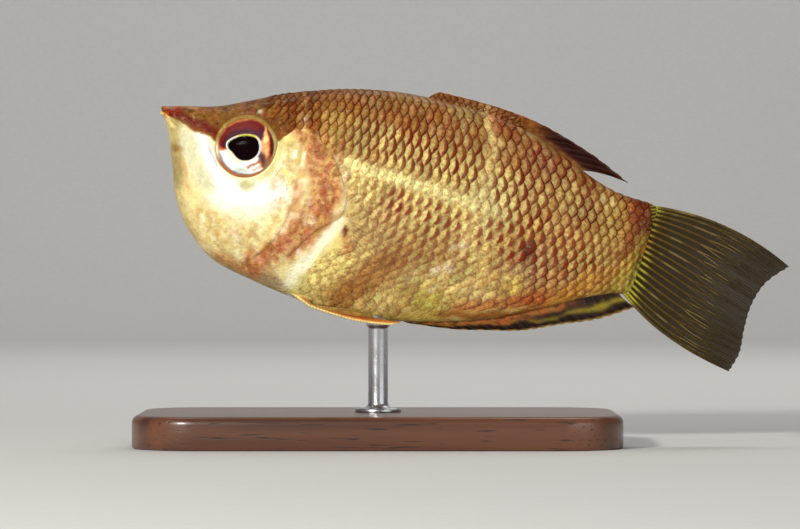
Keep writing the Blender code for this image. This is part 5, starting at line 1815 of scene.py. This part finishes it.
# %% Pelvic fins
def paint_pelvic(part, _, bone, places):
    """Pale along the first ray, orange behind it, and dull with dark patches at the rear."""
    x, y = in_picture(places)
    colour = lay((194, 112, 44), (120, 62, 26), 0.85 * hump(part - 0.52, 0.08))
    colour = lay(colour, (168, 136, 70), 0.9 * ease(0.55, 0.68, part))
    colour = lay(colour, (132, 76, 36), 0.5 * ease(0.1, 0.5, cloud(x, y, 4, 31)) * ease(0.5, 0.7, part))
    colour = lay(colour, (236, 212, 134), 0.95 * ease(0.24, 0.08, part))
    return colour, np.where(bone > 0.5, 1.0, 0.9)


PELVIC_RAYS = 6
for side, word in ((-1, "left"), (1, "right")):
    pile, surface = Pile(), pelvic_surface(side)
    film(pile, surface, PELVIC_RAYS, 0.05, 40, 4, 0.02)
    fin_rays(pile, surface, [0.0], 0.2, 0.16, 50, forks=(), thin=0.25)
    fin_rays(pile, surface, np.linspace(0.2, 1, 5), 0.2, 0.10, 44, forks=(0.6,), opening=(0.4,), thin=0.3)
    finish_fin("pelvic_fin_skin_" + word, pile, paint_pelvic, folded_material)

# %% [markdown]
# ## The stand
# The stand is plain: a flat block of dark stained hardwood with rounded edges under satin lacquer, and one
# turned steel rod with a small foot. The block is lofted from one rounded outline, drawn in at its edges, and
# the rod is a stack of circles about its own axis, which is how both would be made at the bench.

# %% Wooden base
BASE_LONG, BASE_DEEP, BASE_HIGH, BASE_CORNER, BASE_EDGE = 44.0, 26.0, 3.0, 6.0, 0.7
CORNER_STEPS, EDGE_STEPS = 14, 7


def rounded_outline(inset):
    """Places round a rectangle with round corners, drawn in by `inset`."""
    places = []
    for quarter, (sx, sy) in enumerate(((1, 1), (-1, 1), (-1, -1), (1, -1))):
        for step in range(CORNER_STEPS + 1):
            turn = math.radians(90 * (quarter + step / CORNER_STEPS))
            radius = BASE_CORNER - inset
            places.append((sx * (BASE_LONG / 2 - BASE_CORNER) + radius * math.cos(turn),
                           sy * (BASE_DEEP / 2 - BASE_CORNER) + radius * math.sin(turn)))
    return places


def loft(name, layers):
    """Skins a stack of outlines, given as (places, height) in mm over the floor."""
    count = len(layers[0][0])
    places = [(x * MM, y * MM, z * MM) for outline, z in layers for x, y in outline]
    faces = ring_faces(len(layers), count)
    faces += [tuple(range(count))[::-1], tuple((len(layers) - 1) * count + k for k in range(count))]
    mesh = bpy.data.meshes.new(name)
    mesh.from_pydata(places, [], faces)
    thing = place_object(name, mesh)
    turn_faces_out(thing)
    for face in mesh.polygons:
        face.use_smooth = len(face.vertices) == 4
    return thing


def make_wood():
    """Stained wood: bands, fibres and pores, all drawn out along the block."""
    material, tree, shader = new_material(
        "stained_wood", Roughness=0.38, Coat_Weight=0.45, Coat_Roughness=0.18)
    drawn = add(tree, "Mapping", {"Vector": solid_place(tree), "Scale": (60.0, 900.0, 900.0)}).outputs[0]
    warp = noise(tree, drawn, 0.35, 3.0)
    rings_wave = add(tree, "TexWave", {"Vector": drawn, "Scale": 0.16, "Distortion": 4.0, "Detail": 3.0},
                     bands_direction="Y").outputs["Fac"]
    fibres = noise(tree, drawn, 3.2, 4.0)
    pores = between(tree, noise(tree, drawn, 5.5, 1.0), 0.62, 0.72)
    tone = blend(tree, rings_wave, (70, 36, 20), (104, 60, 34))
    tone = blend(tree, times(tree, fibres, 0.6), tone, (54, 26, 15))
    tone = blend(tree, between(tree, warp, 0.35, 0.65, 0.0, 0.35), tone, (128, 78, 46))
    tone = blend(tree, times(tree, pores, 0.8), tone, (28, 13, 8))
    plug(tree, shader.inputs["Base Color"], tone)
    bump(tree, shader, maths(tree, "SUBTRACT", times(tree, fibres, 0.5), pores), 0.00004, 0.5)
    return material


edge_profile = [(0.25, 0.0), (0.08, 0.06), (0.0, 0.22)]  # inset and height
for k in range(EDGE_STEPS + 1):
    bend = math.radians(90 * k / EDGE_STEPS)
    edge_profile.append((BASE_EDGE * (1 - math.cos(bend)), BASE_HIGH - BASE_EDGE * (1 - math.sin(bend))))
base = loft("wooden_base", [(rounded_outline(inset), z) for inset, z in edge_profile])
base.data.materials.append(make_wood())
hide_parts("stand_base")
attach(base, "root")
print("base:", BASE_LONG, "x", BASE_DEEP, "x", BASE_HIGH, "mm")

# %% Steel rod
ROD_TURNS, ROD_RADIUS, FOOT_RADIUS, ROD_INTO_BELLY = 64, 0.9, 2.1, 0.5
FOOT = ((-0.06, -0.05), (0.0, 0.05), (0.0, 0.24), (-0.05, 0.31), (-0.16, 0.36))  # beside its radius, up
FILLET_WIDE, FILLET_HIGH, FILLET_FOOT = 0.55, 0.45, 0.40
COLLAR = ((0.0, -0.9), (0.02, -0.75), (0.16, -0.62), (0.20, -0.45))  # beside the rod's radius, from the belly


def make_steel():
    """Turned steel: fine rings run round the rod."""
    material, tree, shader = new_material("turned_steel", Roughness=0.26, Metallic=1.0)
    place = solid_place(tree)
    squeezed = add(tree, "Mapping", {"Vector": place, "Scale": (300.0, 300.0, 26000.0)}).outputs[0]
    lines = noise(tree, squeezed, 1.0, 3.0)
    plug(tree, shader.inputs["Base Color"], blend(tree, lines, (176, 176, 178), (206, 206, 208)))
    plug(tree, shader.inputs["Roughness"], spread(tree, noise(tree, place, 500.0, 2.0), 0.20, 0.36))
    bump(tree, shader, lines, 0.000012, 0.6)
    return material


room_tree = BVHTree.FromPolygons(in_room(skin_places).tolist(), skin_shell)
belly_z = room_tree.ray_cast((0.0, 0.0, 4.0), (0, 0, 1))[0][2]


def circle(radius):
    return [(radius * math.cos(math.tau * k / ROD_TURNS), radius * math.sin(math.tau * k / ROD_TURNS))
            for k in range(ROD_TURNS)]


rod_profile = [(FOOT_RADIUS + out, BASE_HIGH + up) for out, up in FOOT]
for k in range(10):
    bend = math.radians(10 * k)
    rod_profile.append((ROD_RADIUS + FILLET_WIDE * (1 - math.sin(bend)),
                        BASE_HIGH + FILLET_FOOT + FILLET_HIGH * (1 - math.cos(bend))))
rod_profile.append((ROD_RADIUS, BASE_HIGH + 3.0))
rod_profile += [(ROD_RADIUS + out, belly_z + up) for out, up in (*COLLAR, (0.20, ROD_INTO_BELLY))]
rod = loft("steel_rod", [(circle(radius), z) for radius, z in rod_profile])
rod.data.materials.append(make_steel())
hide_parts("stand_rod")
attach(rod, "root")
print("the rod meets the belly at z = %.1f mm" % belly_z)

# %% [markdown]
# ## The room
# A pale sweep of paper stands under and behind the model. One lamp is in front of it and above its head, two
# weaker ones fill the shade and mark the edge of the back, and one more lights the paper behind. The camera
# looks level and square onto the left flank, as the photo does, from far enough away that the fins aren't
# distorted. A sweep was chosen over a floor with a wall because it leaves no line behind the model.

# %% Floor and backdrop
SWEEP_FRONT, SWEEP_REAR, SWEEP_BEND, SWEEP_TOP, SWEEP_HALF = -0.8, 0.50, 0.2, 1.4, 1.4  # in metres


def make_sweep():
    """A sheet of paper that lies flat, bends up and stands behind the model."""
    depth = [(SWEEP_FRONT, 0.0), (SWEEP_REAR, 0.0)]
    for turn in range(5, 91, 5):
        bend = math.radians(turn)
        depth.append((SWEEP_REAR + SWEEP_BEND * math.sin(bend), SWEEP_BEND - SWEEP_BEND * math.cos(bend)))
    depth.append((SWEEP_REAR + SWEEP_BEND, SWEEP_TOP))
    places = [(side * SWEEP_HALF, y, z) for y, z in depth for side in (-1, 1)]
    faces = [(2 * k, 2 * k + 1, 2 * k + 3, 2 * k + 2) for k in range(len(depth) - 1)]
    mesh = bpy.data.meshes.new("sweep")
    mesh.from_pydata(places, [], faces)
    mesh.polygons.foreach_set("use_smooth", [True] * len(faces))
    paper, tree, shader = new_material("pale_paper", Roughness=0.85)
    fibres = noise(tree, solid_place(tree), 900.0, 4.0)
    plug(tree, shader.inputs["Base Color"], blend(tree, fibres, (204, 203, 200), (214, 213, 210)))
    mesh.materials.append(paper)
    return place_object("sweep", mesh)


sweep = make_sweep()
print("the floor lies at z = 0 and rises behind")

# %% Lamps
AIM = (0.002, 0.0, 0.016)
LAMPS = (  # name, place in m, where it aims, size, watts, colour
    ("key_lamp", (-0.20, -0.34, 0.16), AIM, 0.05, 1.74, (1.0, 0.97, 0.92)),
    ("fill_lamp", (0.28, -0.30, 0.04), AIM, 0.34, 0.50, (0.95, 0.97, 1.0)),
    ("rim_lamp", (0.10, 0.20, 0.34), AIM, 0.30, 0.35, (1.0, 0.98, 0.95)),
    ("paper_lamp", (0.0, 0.24, 0.50), (0.0, 0.66, 0.10), 0.40, 1.2, (1.0, 0.99, 0.97)),
)


def make_lamp(name, place, aim, size, watts, colour):
    lamp = bpy.data.lights.new(name, "AREA")
    lamp.shape, lamp.size, lamp.energy, lamp.color = "DISK", size, watts, colour
    thing = place_object(name, lamp)
    thing.location = place
    thing.rotation_euler = (Vector(aim) - Vector(place)).to_track_quat("-Z", "Y").to_euler()


for lamp in LAMPS:
    make_lamp(*lamp)
world = bpy.data.worlds.new("soft_air")
world.use_nodes = True
background = world.node_tree.nodes["Background"].inputs
background["Color"].default_value = (0.84, 0.86, 0.90, 1.0)
background["Strength"].default_value = 0.18
bpy.context.scene.world = world
print("lamps:", ", ".join(lamp[0] for lamp in LAMPS))

# %% Camera
DISTANCE, SENSOR_MM, PICTURE_WIDE = 0.37, 36.0, 800
VIEW_X, VIEW_Z = 0.0020, 0.01645
picture_width = PICTURE_WIDE * PICTURE_MM * MM
camera_data = bpy.data.cameras.new("camera")
camera_data.sensor_width = SENSOR_MM
camera_data.lens = SENSOR_MM * DISTANCE / picture_width
camera_data.clip_start = 0.01
camera = place_object("camera", camera_data)
camera.location = (VIEW_X, -DISTANCE, VIEW_Z)
camera.rotation_euler = (math.radians(90), 0.0, 0.0)
bpy.context.scene.camera = camera
bpy.context.scene.view_settings.view_transform = "Standard"
print("lens: %.1f mm" % camera_data.lens)
